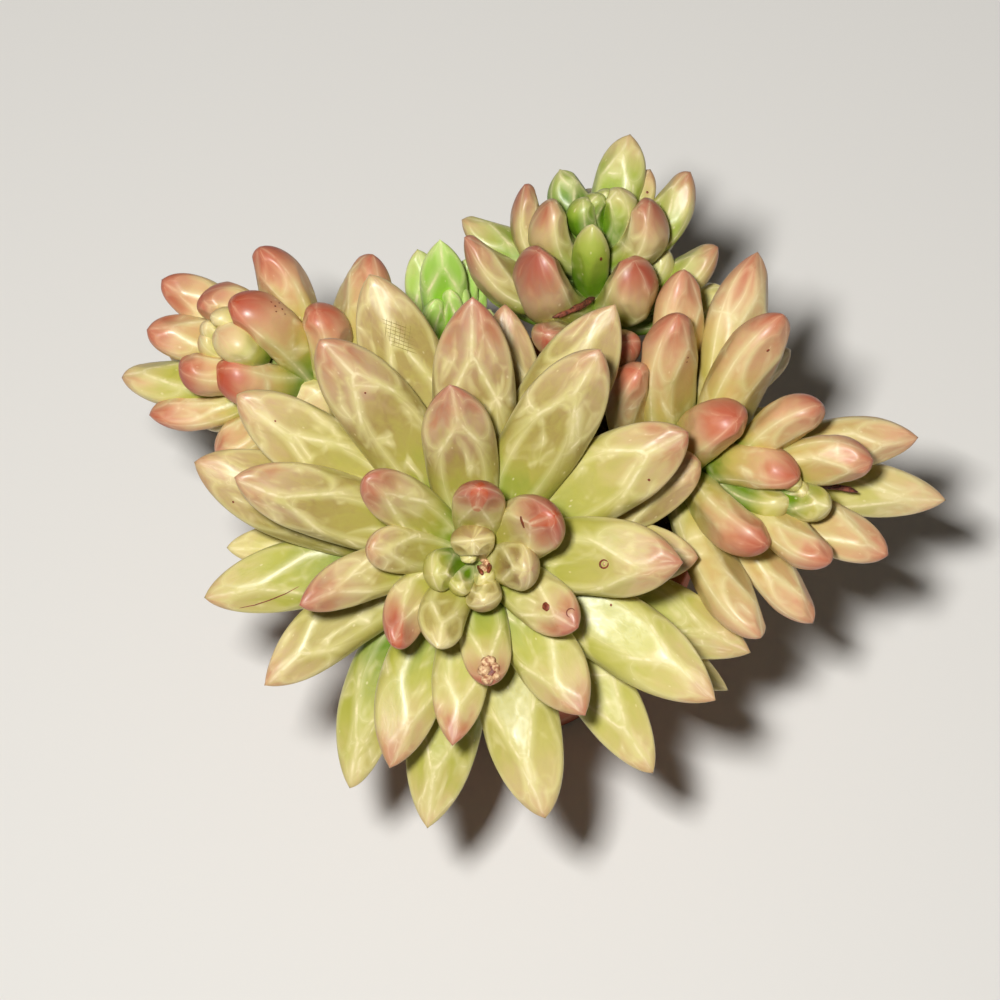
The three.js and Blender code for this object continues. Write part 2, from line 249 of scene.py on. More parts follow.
@dataclass
class Skin:
    """A closed mesh that is being put together, with named values at its points."""

    points: list[np.ndarray] = field(default_factory=list)
    faces: list[tuple[int, ...]] = field(default_factory=list)
    values: dict[str, list[np.ndarray]] = field(default_factory=dict)
    count: int = 0

    def add(self, points: np.ndarray, faces: list[tuple[int, ...]], values: dict[str, np.ndarray]) -> None:
        """Adds one closed shell.

        Args:
            points: The shell's points, in millimetres.
            faces: Its faces, counted from its own first point.
            values: A number or a vector for each point, by name.
        """
        self.faces.extend(tuple(corner + self.count for corner in face) for face in faces)
        self.points.append(points)
        for name, numbers in values.items():
            self.values.setdefault(name, []).append(numbers)
        self.count += len(points)

    def add_tube(self, rings: np.ndarray, ends: list[np.ndarray | Point],
                 values: dict[str, np.ndarray] | None = None) -> None:
        """Adds a closed tube.

        Args:
            rings: Its points, ring by ring, in millimetres.
            ends: The points that close it at its start and at its end.
            values: A number or a vector for each point, with the two ends last, by name.
        """
        count, sides, _ = rings.shape
        self.add(np.concatenate([rings.reshape(-1, 3), ends]), lofted_faces(count, sides), values or {})

    def to_piece(self, name: str, material: bpy.types.Material,
                 nodes: tuple[str, ...]) -> bpy.types.Object:
        """Makes the mesh a piece of the object.

        Args:
            name: The piece's name.
            material: Its material.
            nodes: The frame's nodes that it stands for.

        Returns:
            The new piece, riding on the body.
        """
        mesh = bpy.data.meshes.new(name)
        points = np.concatenate(self.points) * MM
        mesh.from_pydata(points.tolist(), [], self.faces)
        for key, numbers in self.values.items():
            joined = np.concatenate(numbers)
            kind, word = ("FLOAT_VECTOR", "vector") if joined.ndim == 2 else ("FLOAT", "value")
            layer = mesh.attributes.new(key, kind, "POINT")
            layer.data.foreach_set(word, joined.astype(np.float32).ravel())
        mesh.polygons.foreach_set("use_smooth", [True] * len(mesh.polygons))
        mesh.materials.append(material)
        piece = add_object(name, mesh)
        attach(piece, BODY)
        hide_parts(*nodes)
        log.info("%s: %d faces", name, len(mesh.polygons))
        return piece


def lofted_faces(rings: int, sides: int) -> list[tuple[int, ...]]:
    """Faces of a closed tube whose points come ring by ring, then one at its start and one at its end.

    Args:
        rings: The number of rings.
        sides: The number of points in each ring.

    Returns:
        The faces, as numbers of points.
    """
    start = rings * sides
    end = start + 1
    last = (rings - 1) * sides
    faces: list[tuple[int, ...]] = []
    for side in range(sides):
        after = (side + 1) % sides
        faces.append((start, after, side))
        faces.append((end, last + side, last + after))
        faces.extend((ring + side, ring + after, ring + sides + after, ring + sides + side)
                     for ring in range(0, last, sides))
    return faces


def rings_round(line: np.ndarray, pace: np.ndarray, square_to: np.ndarray, radius: np.ndarray,
                turn: np.ndarray) -> np.ndarray:
    """Lays rings of points round a line.

    Args:
        line: The line's points.
        pace: Its direction at each of them.
        square_to: A direction that each ring's start is square to.
        radius: How far each point lies from the line.
        turn: Angles round a ring.

    Returns:
        The points, ring by ring.
    """
    right = np.cross(pace, square_to)
    right /= np.linalg.norm(right, axis=1)[:, None]
    back = np.cross(pace, right)
    points = line[:, None] + right[:, None] * (radius * np.cos(turn))[..., None]
    return points + back[:, None] * (radius * np.sin(turn))[..., None]


@dataclass(frozen=True)
class Viewpoint:
    """Where the clump is looked at from: in front of it and high above."""

    rise: float = math.radians(70)
    distance: float = 950
    middle: Point = (-3, -15, 116)
    sensor: float = 36
    width_seen: float = 200

    def directions(self) -> tuple[np.ndarray, np.ndarray, np.ndarray]:
        """Right, up and towards the viewer, as unit vectors."""
        right = np.array([1.0, 0.0, 0.0])
        up = np.array([0.0, math.sin(self.rise), math.cos(self.rise)])
        towards = np.array([0.0, -math.cos(self.rise), math.sin(self.rise)])
        return right, up, towards

    def seen(self, place: Point) -> np.ndarray:
        """The point that looks so far to the right and up from the middle.

        Args:
            place: Right, up and towards the viewer.

        Returns:
            The point in the object's own frame.
        """
        right, up, towards = self.directions()
        nearness = (self.distance - place[2]) / self.distance
        across = right * place[0] * nearness + up * place[1] * nearness
        return np.array(self.middle) + across + towards * place[2]

    def aimed(self, place: Point) -> np.ndarray:
        """The direction that is given as right, up and towards the viewer."""
        right, up, towards = self.directions()
        return unit(right * place[0] + up * place[1] + towards * place[2])

    def eye(self) -> np.ndarray:
        """The place of the eye."""
        return np.array(self.middle) + self.directions()[2] * self.distance

    def add_camera(self) -> None:
        """Puts the scene's camera at the eye."""
        data = bpy.data.cameras.new("camera")
        data.sensor_width = self.sensor
        data.lens = self.sensor * self.distance / self.width_seen
        camera = add_object("camera", data)
        camera.location = self.eye() * MM
        camera.rotation_euler = Vector(self.directions()[2]).to_track_quat("Z", "Y").to_euler()
        bpy.context.scene.camera = camera


VIEW = Viewpoint()


@dataclass(frozen=True)
class Finish:
    """What a surface is made of: how rough it is, and how strong and how deep its relief is."""

    name: str
    roughness: float = 0.9
    relief: float = 0.6
    relief_depth: float = 0.3

    def make(self) -> bpy.types.Material:
        """Makes the material.

        Returns:
            The material, dressed with its nodes.
        """
        material = bpy.data.materials.new(self.name)
        material.use_nodes = True
        material.node_tree.nodes.clear()
        self.dress(material.node_tree)
        return material

    def dress(self, tree: Tree) -> None:
        """Gives the material its nodes.

        Args:
            tree: The material's node tree, still empty.
        """
        raise NotImplementedError

    def add_surface(self, tree: Tree, colour: Value, height: Socket | None = None,
                    more: dict[str, Value] | None = None) -> bpy.types.Node:
        """Adds the shader and the output.

        Args:
            tree: The material's node tree.
            colour: The surface's colour.
            height: The form of its relief, if it has any.
            more: Other values of the shader by name.

        Returns:
            The shader.
        """
        inputs = {"Base Color": colour, "Roughness": self.roughness} | (more or {})
        if height is not None:
            relief = {"Height": height, "Strength": self.relief, "Distance": self.relief_depth * MM}
            inputs["Normal"] = add_node(tree, "ShaderNodeBump", relief).outputs[0]
        shader = add_node(tree, "ShaderNodeBsdfPrincipled", inputs)
        add_node(tree, "ShaderNodeOutputMaterial", {"Surface": shader.outputs[0]})
        return shader


@dataclass(frozen=True)
class LeafFinish(Finish):
    """The skin of a succulent leaf: taut cuticle under a thin film of wax over wet, clear flesh.

    The wax gives the eye a crisp, moist gloss. The flesh gives it the glow of a grape, clear windows
    between cream ridges, and a sun blush that runs from tan to salmon at the tip.
    """

    # shade is the deep green at each leaf's foot and on leaves pulled greener: painted shade among the
    # crowded leaves, as well as the green of young tissue.
    shade: str = "#607E0C"
    flesh: str = "#A6A442"
    pale: str = "#D2C872"
    tan: str = "#967C48"
    salmon: str = "#B86A4A"
    tip: str = "#A34B38"
    mauve: str = "#975A50"
    cap: str = "#B2441C"
    cream: str = "#ECDFB0"
    rose: str = "#CFA98A"
    roughness: float = 0.4
    smoother: float = 0.06
    rougher: float = 0.12
    relief: float = 0.12
    relief_depth: float = 0.5
    coat: float = 0.1
    coat_roughness: float = 0.26
    wetness: float = 1.42
    clarity: float = 0.16
    flesh_glow: Point = (1.0, 0.8, 0.25)
    flesh_depth: float = 1.6
    cloud_size: float = 7.0
    streak_size: float = 2.2
    detail: float = 2.0
    detail_strength: float = 0.58
    swirl: float = 0.7
    stir: float = 0.36
    net_size: float = 8.0
    net_drift: float = 3.0
    net_gap: Range = (1.7, 0.15)
    shoulder_gap: float = 0.35
    edge_gap: float = 0.12
    speck_spacing: float = 3.2
    speck_edge: Range = (0.04, 0.1)
    speck_strength: float = 0.35
    line_edge: Range = (0.08, 0.52)
    line_breaks: Range = (0.34, 0.68)
    line_strength: float = 0.68
    line_glow: float = 2.0
    glow_strength: float = 0.54
    green_and_shade_pull: float = 0.7
    window_depth: float = 0.55
    blush_pull: float = 0.45
    ripening: Range = (0.2, 0.6)
    glazing: Range = (0.9, 1.12)
    glaze_strength: float = 0.45
    blushing: Range = (1.1, 1.38)
    blush_strength: float = 0.85
    reddening: Range = (1.15, 1.42)
    red_strength: float = 0.9
    cap_strength: float = 0.75

    def dress(self, tree: Tree) -> None:
        """Gives the leaves their nodes, which read the values that the leaves carry.

        Args:
            tree: The material's node tree.
        """
        value = {key: carried(tree, key) for key in LEAF_VALUES}
        place = carried(tree, "place", "Vector")
        cloud, streak = (noisy(tree, place, size, self.detail, self.detail_strength, self.swirl)
                         for size in (self.cloud_size, self.streak_size))
        near = self._nearest_line(tree, value, place, cloud)
        glow = fading(tree, near, 0.0, self.line_glow)
        line = fading(tree, near, *self.line_edge)
        speck = fading(tree, cells(tree, place, self.speck_spacing), *self.speck_edge)
        colour, blushed = self._ripened(tree, value, cloud, streak, glow)
        crest = mixed(tree, blushed, linear(self.cream), linear(self.rose))
        clouded = sum_of(tree, "MULTIPLY", cloud, self.glow_strength)
        broken = ranged(tree, streak, *self.line_breaks, end=self.line_strength)
        for share, strength in ((glow, clouded), (line, broken), (speck, self.speck_strength)):
            colour = mixed(tree, sum_of(tree, "MULTIPLY", share, strength), colour, crest)
        rough = ranged(tree, streak, 0.3, 0.7, self.roughness - self.smoother, self.roughness + self.rougher)
        shader = self.add_surface(tree, colour, streak, {
            "Roughness": rough, "IOR": self.wetness, "Coat Weight": self.coat,
            "Coat Roughness": self.coat_roughness, "Subsurface Weight": self.clarity,
            "Subsurface Radius": self.flesh_glow, "Subsurface Scale": self.flesh_depth * MM})
        shader.subsurface_method = "BURLEY"

    def _nearest_line(self, tree: Tree, value: dict[str, Socket], place: Socket, cloud: Socket) -> Socket:
        """Works out how far the nearest pale line is: a ridge, a margin or a wall of the net between windows.

        Args:
            tree: The node tree.
            value: The leaves' own values, the distances to the ridges among them.
            place: The place on the leaf.
            cloud: Broad cloudy variation.

        Returns:
            The distance, in millimetres.
        """
        off = {key: sum_of(tree, "ABSOLUTE", value[key]) for key in ("fork", "crest", "shoulder", "edge")}
        ridge = sum_of(tree, "MINIMUM", off["fork"], sum_of(tree, "MAXIMUM", off["crest"], value["fork"]))
        ridge = sum_of(tree, "MAXIMUM", ridge, value["under"])
        for key, gap in (("shoulder", self.shoulder_gap), ("edge", self.edge_gap)):
            ridge = sum_of(tree, "MINIMUM", ridge, sum_of(tree, "ADD", off[key], gap))
        drift = noisy(tree, place, self.cloud_size, 0.0).node.outputs["Color"]
        kind = "ShaderNodeVectorMath"
        drift = add_node(tree, kind, {0: drift, "Scale": self.net_drift * MM}, operation="SCALE")
        bent = add_node(tree, kind, {0: place, 1: drift.outputs[0]}, operation="ADD")
        walls = cells(tree, bent.outputs[0], self.net_size, "DISTANCE_TO_EDGE")
        gap = ranged(tree, cloud, 0.44, 0.62, *self.net_gap)
        return sum_of(tree, "MINIMUM", ridge, sum_of(tree, "MULTIPLY_ADD", walls, self.net_size, gap))

    def _ripened(self, tree: Tree, value: dict[str, Socket], cloud: Socket, streak: Socket,
                 glow: Socket) -> tuple[Socket, Socket]:
        """Colours the leaf from its green foot, darkened with painted shade, to its blushing tip.

        Args:
            tree: The node tree.
            value: The leaves' own values.
            cloud: Broad cloudy variation.
            streak: Finer variation.
            glow: How near a pale line is.

        Returns:
            The colour, and how far it has blushed.
        """
        stirred = sum_of(tree, "MULTIPLY_ADD", cloud, self.stir, -self.stir / 2)
        reach = sum_of(tree, "ADD", value["along"], stirred)
        # The deep green shade stop at each leaf's foot, and the pull towards it of leaves whose ripe is below
        # nothing, are painted shade on leaves that lie under others, as well as the green of young leaves.
        greener_and_shaded = sum_of(tree, "MULTIPLY", sum_of(tree, "MINIMUM", value["ripe"]), self.green_and_shade_pull)
        body = ramp(tree, sum_of(tree, "ADD", reach, greener_and_shaded),
                    (0.1, self.shade), (0.4, self.flesh), (0.9, self.pale))
        window = sum_of(tree, "SUBTRACT", 1.0, glow)
        thick = sum_of(tree, "MULTIPLY_ADD", window, self.window_depth, streak)
        ripened = sum_of(tree, "MULTIPLY", value["ripe"], ranged(tree, reach, *self.ripening))
        warmth = sum_of(tree, "MULTIPLY_ADD", value["blush"], self.blush_pull, reach)
        glazed = ranged(tree, warmth, *self.glazing, end=self.glaze_strength)
        blushed = ranged(tree, warmth, *self.blushing)
        reddened = ranged(tree, warmth, *self.reddening, end=self.red_strength)
        salmon = mixed(tree, ranged(tree, cloud, 0.4, 0.6), linear(self.mauve), linear(self.salmon))
        capped = sum_of(tree, "MULTIPLY", fading(tree, value["nose"], -0.2, 0.1),
                        ranged(tree, value["blush"], 0.9, 1.0))
        for share, colour in (
            (sum_of(tree, "MULTIPLY", ripened, thick, clamp=True), linear(self.tan)),
            (sum_of(tree, "MULTIPLY", glazed, thick, clamp=True), linear(self.rose)),
            (sum_of(tree, "MULTIPLY", blushed, self.blush_strength), salmon),
            (reddened, linear(self.tip)),
            (sum_of(tree, "MULTIPLY", capped, self.cap_strength), linear(self.cap)),
        ):
            body = mixed(tree, share, body, colour)
        return body, blushed


@dataclass(frozen=True)
class StemFinish(Finish):
    """A succulent's old stem: corky bark, pale where leaves came off and greener towards the young end."""

    name: str = "corky_stem"
    bark: str = "#8C7450"
    cork: str = "#B79F78"
    green: str = "#8C9A4A"
    roughness: float = 0.75
    relief: float = 0.5
    relief_depth: float = 0.5
    crack_size: float = 1.6
    patch_size: float = 7.0
    scar_strength: float = 0.7

    def dress(self, tree: Tree) -> None:
        """Gives the stem its nodes, which read the values that it carries.

        Args:
            tree: The material's node tree.
        """
        where = own_place(tree)
        patch = noisy(tree, where, self.patch_size, 4.0)
        crack = noisy(tree, where, self.crack_size, 5.0, 0.7)
        bark = ramp(tree, crack, (0.32, self.bark), (0.66, self.cork))
        young = sum_of(tree, "MULTIPLY", carried(tree, "along"), sum_of(tree, "ADD", patch, 0.5), clamp=True)
        scarred = sum_of(tree, "MULTIPLY", carried(tree, "scar"), self.scar_strength)
        colour = mixed(tree, scarred, mixed(tree, young, bark, linear(self.green)), linear(self.cork))
        self.add_surface(tree, colour, crack)


@dataclass(frozen=True)
class DryFinish(Finish):
    """Dead plant tissue, dried in the sun: dark red-brown, dull, and split along its fibres."""

    dark: str = "#3E1A12"
    light: str = "#8E4A32"
    roughness: float = 0.7
    fibre_size: float = 0.7

    def dress(self, tree: Tree) -> None:
        """Gives the tissue its nodes."""
        fibre = noisy(tree, own_place(tree), self.fibre_size, 4.0)
        self.add_surface(tree, ramp(tree, fibre, (0.35, self.dark), (0.65, self.light)), fibre)


@dataclass(frozen=True)
class ClayFinish(Finish):
    """Unglazed terracotta, turned and fired: dull and chalky, with fine turning lines and lime bloom."""

    name: str = "terracotta"
    clay: str = "#B4684A"
    dark: str = "#96523A"
    bloom: str = "#D8BFA6"
    roughness: float = 0.86
    shine: float = 0.3
    relief: float = 0.28
    relief_depth: float = 0.4
    grit_size: float = 0.5
    cloud_size: float = 22.0
    bloom_size: float = 13.2
    bloom_edge: Range = (0.52, 0.74)
    bloom_strength: float = 0.75
    line_spacing: float = 1.3
    line_stretch: float = 0.04
    line_darkness: float = 0.3
    line_relief: float = 1.6

    def dress(self, tree: Tree) -> None:
        """Gives the clay its nodes.

        Args:
            tree: The material's node tree.
        """
        where = own_place(tree)
        cloud = noisy(tree, where, self.cloud_size, 5.0, 0.6)
        grit = noisy(tree, where, self.grit_size, 2.0)
        turned = {"Vector": where, "Scale": (self.line_stretch, self.line_stretch, 1.0)}
        line = noisy(tree, add_node(tree, "ShaderNodeMapping", turned).outputs[0], self.line_spacing, 2.0)
        colour = ramp(tree, cloud, (0.3, self.dark), (0.55, self.clay))
        colour = mixed(tree, sum_of(tree, "MULTIPLY", line, self.line_darkness), colour, linear(self.dark))
        lime = noisy(tree, where, self.bloom_size, 7.0, 0.68, 0.4)
        bloom = ranged(tree, lime, *self.bloom_edge, end=self.bloom_strength)
        colour = mixed(tree, sum_of(tree, "MULTIPLY", bloom, grit), colour, linear(self.bloom))
        height = sum_of(tree, "MULTIPLY_ADD", line, self.line_relief, grit)
        self.add_surface(tree, colour, height, {"Specular IOR Level": self.shine})


@dataclass(frozen=True)
class SoilFinish(Finish):
    """Potting mix for succulents: dark humus crumbs with tan coir and pale grains of sand among them."""

    name: str = "potting_mix"
    dark: str = "#2A1F17"
    light: str = "#5E4A38"
    sand: str = "#A8967C"
    roughness: float = 0.95
    relief: float = 0.8
    relief_depth: float = 0.8
    crumb_size: float = 1.6
    sand_strength: float = 0.8

    def dress(self, tree: Tree) -> None:
        """Gives the soil its nodes."""
        where = own_place(tree)
        crumb = noisy(tree, where, self.crumb_size, 5.0, 0.7)
        grain = ranged(tree, cells(tree, where, self.crumb_size), 0.1, 0.2, self.sand_strength, 0.0)
        crumbs = ramp(tree, crumb, (0.35, self.dark), (0.7, self.light))
        self.add_surface(tree, mixed(tree, grain, crumbs, linear(self.sand)), crumb)


@dataclass(frozen=True)
class GritFinish(Finish):
    """Crushed pumice and gravel: dull porous chips, each of its own shade from off-white to brown-grey."""

    name: str = "pumice_grit"
    pale: str = "#CFC6B4"
    dark: str = "#6E5F50"
    pore_size: float = 0.6
    pore_strength: float = 0.5

    def dress(self, tree: Tree) -> None:
        """Gives the grit its nodes, which read the shade that each chip carries."""
        pore = noisy(tree, own_place(tree), self.pore_size, 3.0)
        tone = sum_of(tree, "MULTIPLY_ADD", pore, self.pore_strength, carried(tree, "shade"))
        self.add_surface(tree, ramp(tree, tone, (0.3, self.dark), (1.0, self.pale)), pore)


@dataclass(frozen=True)
class FloorFinish(Finish):
    """Plain matt paper, off-white, with no grain that shows."""

    name: str = "matt_paper"
    paper: str = "#DEDBD5"

    def dress(self, tree: Tree) -> None:
        """Gives the floor its nodes."""
        self.add_surface(tree, linear(self.paper))


@dataclass(frozen=True)
class Span:
    """A size that changes from a full-grown leaf to a young one."""

    grown: float
    young: float

    def at(self, youth: float) -> float:
        """The size at a youth from 0, full-grown, to 1, just sprouted."""
        return self.grown + (self.young - self.grown) * youth


GRAZING = 0.05
OUT_OF_REACH = 9.0
LEAST_SLOPE = 0.01
FARTHEST_RIDGE = 6


@dataclass(frozen=True)
class Facet:
    """A flat that cuts a leaf's round body: which way it faces, and how far out it lies along the leaf."""

    turn: float
    start: float
    slope: float

    def reach(self, along: np.ndarray, turn: np.ndarray) -> np.ndarray:
        """How far out the flat lies at places along and round the leaf, in shares of its half width."""
        facing = np.cos(turn - self.turn)
        out = (self.start + self.slope * along) / np.maximum(facing, GRAZING)
        return np.where(facing > GRAZING, out, OUT_OF_REACH)

    def depth(self, along: np.ndarray, turn: np.ndarray, radius: np.ndarray) -> np.ndarray:
        """How deep points along, round and out from the leaf's middle lie under the flat."""
        return self.start + self.slope * along - radius * np.cos(turn - self.turn)


class LeafRow(NamedTuple):
    """One leaf as it is laid out: its tip as seen, its width and sideways bend, and how it is coloured."""

    right: float
    up: float
    towards: float
    width: float
    sway: float
    blunter: float
    ripe: float
    blush: float


@dataclass
class Leaf:
    """A plump, pointed leaf, flatter above than below, with soft flats that meet in ridges."""

    base: np.ndarray
    tip: np.ndarray
    axis: np.ndarray
    row: LeafRow
    foot: float
    blunt: float
    plump: float
    seed: int
    widest_at: Span = Span(0.57, 0.64)
    tip_curve: Span = Span(2.5, 2.8)
    young_bluntness: float = 0.8
    bow: Span = Span(0.05, 0.13)
    upper: Span = Span(0.27, 0.48)
    lower: Span = Span(0.37, 0.52)
    young_length: float = 27
    ridge_softness: float = 0.009
    point_radius: float = 0.35
    point_length: float = 1.3
    nub: float = 0.2
    usual_width: float = 15
    usual_rings: int = 56
    usual_half_turn: int = 26
    crowding: float = 1.25
    upper_crowding: float = 0.28
    flat_step: float = 0.02
    pattern_pace: float = 0.72
    pattern_depth: float = 0.7
    pattern_spread: float = 900

    def __post_init__(self) -> None:
        """Works out the leaf's own directions."""
        self.length = float(np.linalg.norm(self.tip - self.base))
        self.forward = unit(self.tip - self.base)
        self.above = unit(self.axis - self.forward * float(self.axis @ self.forward))
        self.side = np.cross(self.above, self.forward)
        self.swayed = unit(np.cross(VIEW.directions()[2], self.forward))
        self.youth = max(0.0, 1 - self.length / self.young_length)
        self.draw = np.random.default_rng(self.seed)

    def breadth(self, along: np.ndarray) -> np.ndarray:
        """The leaf's width along its length.

        Args:
            along: Places along the leaf, from 0 at its foot to 1 at its tip.

        Returns:
            The width there, as a share of the greatest width.
        """
        widest = self.widest_at.at(self.youth)
        rising = self.foot + (1 - self.foot) * np.sin(math.pi / 2 * along / widest)
        past = np.clip((along - widest) / (1 - widest), 0, 1)
        blunt = self.blunt + self.row.blunter + self.young_bluntness * self.youth
        falling = (1 - past ** self.tip_curve.at(self.youth)) ** (1 / blunt)
        left_over = np.clip((1 - along) * self.length / self.point_length, 0, 1)
        point = self.point_radius / (self.row.width / 2) * left_over
        return np.where(along < widest, rising, np.maximum(falling, point))

    def facets(self) -> list[Facet]:
        """Draws the flats of this leaf.

        Returns:
            The flats: one along the upper face, a pair each side of the tip, two flanks and a keel.
        """
        draw = self.draw
        flats: list[Facet] = []

        def touching(turn: float, along: float, depth: float) -> None:
            """Adds the flat that lies so deep under the body at that place along the leaf."""
            here, ahead = self.breadth(np.array([along, along + self.flat_step]))
            slope = (ahead - here) / self.flat_step
            flats.append(Facet(math.radians(turn), here * depth - slope * along, slope))

        lean = draw.uniform(-12, 12)
        middle = self.widest_at.at(self.youth)
        fork = draw.uniform(0.74, 0.82)
        touching(90 + lean, middle - 0.12, draw.uniform(0.78, 0.85))
        for hand in (1, -1):
            touching(90 + lean + hand * draw.uniform(36, 48), fork, draw.uniform(0.82, 0.88))
        touching(90 + lean / 2, draw.uniform(0.88, 0.92), draw.uniform(0.84, 0.92))
        flank, keel = ((0.5, 0.62), (0.94, 0.98)), ((0.45, 0.7), (0.84, 0.9))
        for turn, (place, depth) in ((162, flank), (18, flank), (-128, keel), (-52, keel)):
            touching(turn + draw.uniform(-8, 8), draw.uniform(*place), draw.uniform(*depth))
        return flats

    def stations(self, rings: int) -> np.ndarray:
        """Places of the rings along the leaf, closer together towards the tip."""
        even = np.linspace(0, 1, rings + 1)[:-1]
        return 1 - (1 - even) ** self.crowding

    def turns(self, sides: int) -> np.ndarray:
        """Angles of the points round a ring, closer together on the upper face."""
        even = full_turn(sides)
        return even + self.upper_crowding * np.cos(even + math.pi)

    def build(self, skin: Skin) -> None:
        """Adds the leaf to a skin.

        Args:
            skin: The mesh that the leaf is added to.
        """
        fineness = math.sqrt(self.row.width / self.usual_width)
        rings, sides = round(self.usual_rings * fineness), 2 * round(self.usual_half_turn * fineness)
        along, turn = np.meshgrid(self.stations(rings), self.turns(sides), indexing="ij")
        breadth = self.breadth(along)
        flats = self.facets()
        reach = np.stack([breadth] + [flat.reach(along, turn) for flat in flats]) / breadth
        nearest = reach.min(axis=0)
        soft = self.ridge_softness
        share = nearest - soft * np.log(np.exp(-(reach - nearest) / soft).sum(axis=0))
        share = np.clip(share, 0.3, 1.02) * (1 + self._waves(along, turn))
        points = self._placed(along, turn, breadth * share)
        radius = breadth * share
        depths = np.stack([breadth * (1 - share)] + [flat.depth(along, turn, radius) for flat in flats])
        values = {key: self._in_millimetres(gap, points) for key, gap in self._gaps(depths, turn).items()}
        values["under"] = np.clip(depths[1:5].min(axis=0), 0, None) * self.row.width / 2
        values |= {"along": along, "ripe": np.full_like(along, self.row.ripe),
                   "blush": np.full_like(along, self.row.blush)}
        flat_values = {key: np.append(number.ravel(), [number[0].mean(), number[-1].mean()])
                       for key, number in values.items()}
        flat_values["place"] = self._pattern_place(along, turn)
        skin.add_tube(points, [self.base, self.tip + self.forward * self.nub], flat_values)

    def _gaps(self, depths: np.ndarray, turn: np.ndarray) -> dict[str, np.ndarray]:
        """How much deeper each point lies under one flat than under its neighbour: nothing, at a ridge.

        Args:
            depths: How deep the points lie under the round body and under each flat.
            turn: Angles round the leaf.

        Returns:
            The gap for each kind of ridge, by name.
        """
        body, top, left, right, nose = depths[:5]
        tips = np.minimum(left, right)
        round_side = np.minimum(body, depths[5:].min(axis=0))
        upper = np.minimum(np.minimum(tips, top), nose)
        return {"fork": tips - top, "crest": left - right, "nose": nose - tips,
                "shoulder": round_side - upper, "edge": np.sin(turn - 0.05)}

    def _in_millimetres(self, gap: np.ndarray, points: np.ndarray) -> np.ndarray:
        """Turns a gap into the distance to the place where it is nothing.

        Args:
            gap: The gap at each point.
            points: The points.

        Returns:
            The distance at each point, below nothing on one side of the ridge.
        """
        along_step = np.linalg.norm(np.gradient(points, axis=0), axis=2)
        round_step = np.linalg.norm(np.roll(points, -1, axis=1) - np.roll(points, 1, axis=1), axis=2) / 2
        along_slope = np.gradient(gap, axis=0) / np.maximum(along_step, LEAST_SLOPE)
        round_gap = (np.roll(gap, -1, axis=1) - np.roll(gap, 1, axis=1)) / 2
        round_slope = round_gap / np.maximum(round_step, LEAST_SLOPE)
        steepness = np.maximum(np.hypot(along_slope, round_slope), LEAST_SLOPE)
        return np.clip(gap / steepness, -FARTHEST_RIDGE, FARTHEST_RIDGE)

    def _waves(self, along: np.ndarray, turn: np.ndarray) -> np.ndarray:
        """Slow waves in the leaf's surface.

        Args:
            along: Places along the leaf.
            turn: Angles round it.

        Returns:
            The swelling there, as a share of the leaf's radius.
        """
        waves = ((1, 2.0, 0.010), (2, 3.1, 0.008), (3, -4.7, 0.006), (5, 7.9, 0.003), (4, -11.3, 0.003))
        total = np.zeros_like(along)
        for count, pace, height in waves:
            total += height * np.sin(count * turn + 2 * math.pi * (pace / 2 * along + self.draw.uniform()))
        return total * (1 - along ** 4)

    def _placed(self, along: np.ndarray, turn: np.ndarray, share: np.ndarray) -> np.ndarray:
        """Places points of the leaf's surface.

        Args:
            along: Places along the leaf.
            turn: Angles round it.
            share: Distance from its middle, as a share of its greatest half width.

        Returns:
            The points, in millimetres.
        """
        arch = np.sin(math.pi * along)[..., None]
        width = self.row.width
        share_of_width = np.where(np.sin(turn) > 0, self.upper.at(self.youth), self.lower.at(self.youth))
        thick = share_of_width * width * self.plump
        centre = self.base + self.forward * (self.length * along)[..., None]
        centre = centre - self.above * self.bow.at(self.youth) * self.length * arch
        centre = centre + self.swayed * self.row.sway * arch
        across = self.side * (width / 2 * share * np.cos(turn))[..., None]
        return centre + across + self.above * (thick * share * np.sin(turn))[..., None]

    def _pattern_place(self, along: np.ndarray, turn: np.ndarray) -> np.ndarray:
        """Where each point lies in the leaf's own pattern, in metres.

        Args:
            along: Places along the leaf.
            turn: Angles round it.

        Returns:
            A vector for each point, and for the leaf's two ends.
        """
        start = self.draw.uniform(0, self.pattern_spread, 3)
        radius = self.row.width / 2
        length = self.pattern_pace * self.length
        under = radius * self.pattern_depth * np.sin(turn)
        place = np.stack([radius * np.cos(turn), length * along, under], axis=-1)
        ends = np.array([[0, 0, 0], [0, length, 0]])
        return (np.concatenate([place.reshape(-1, 3), ends]) + start) * MM


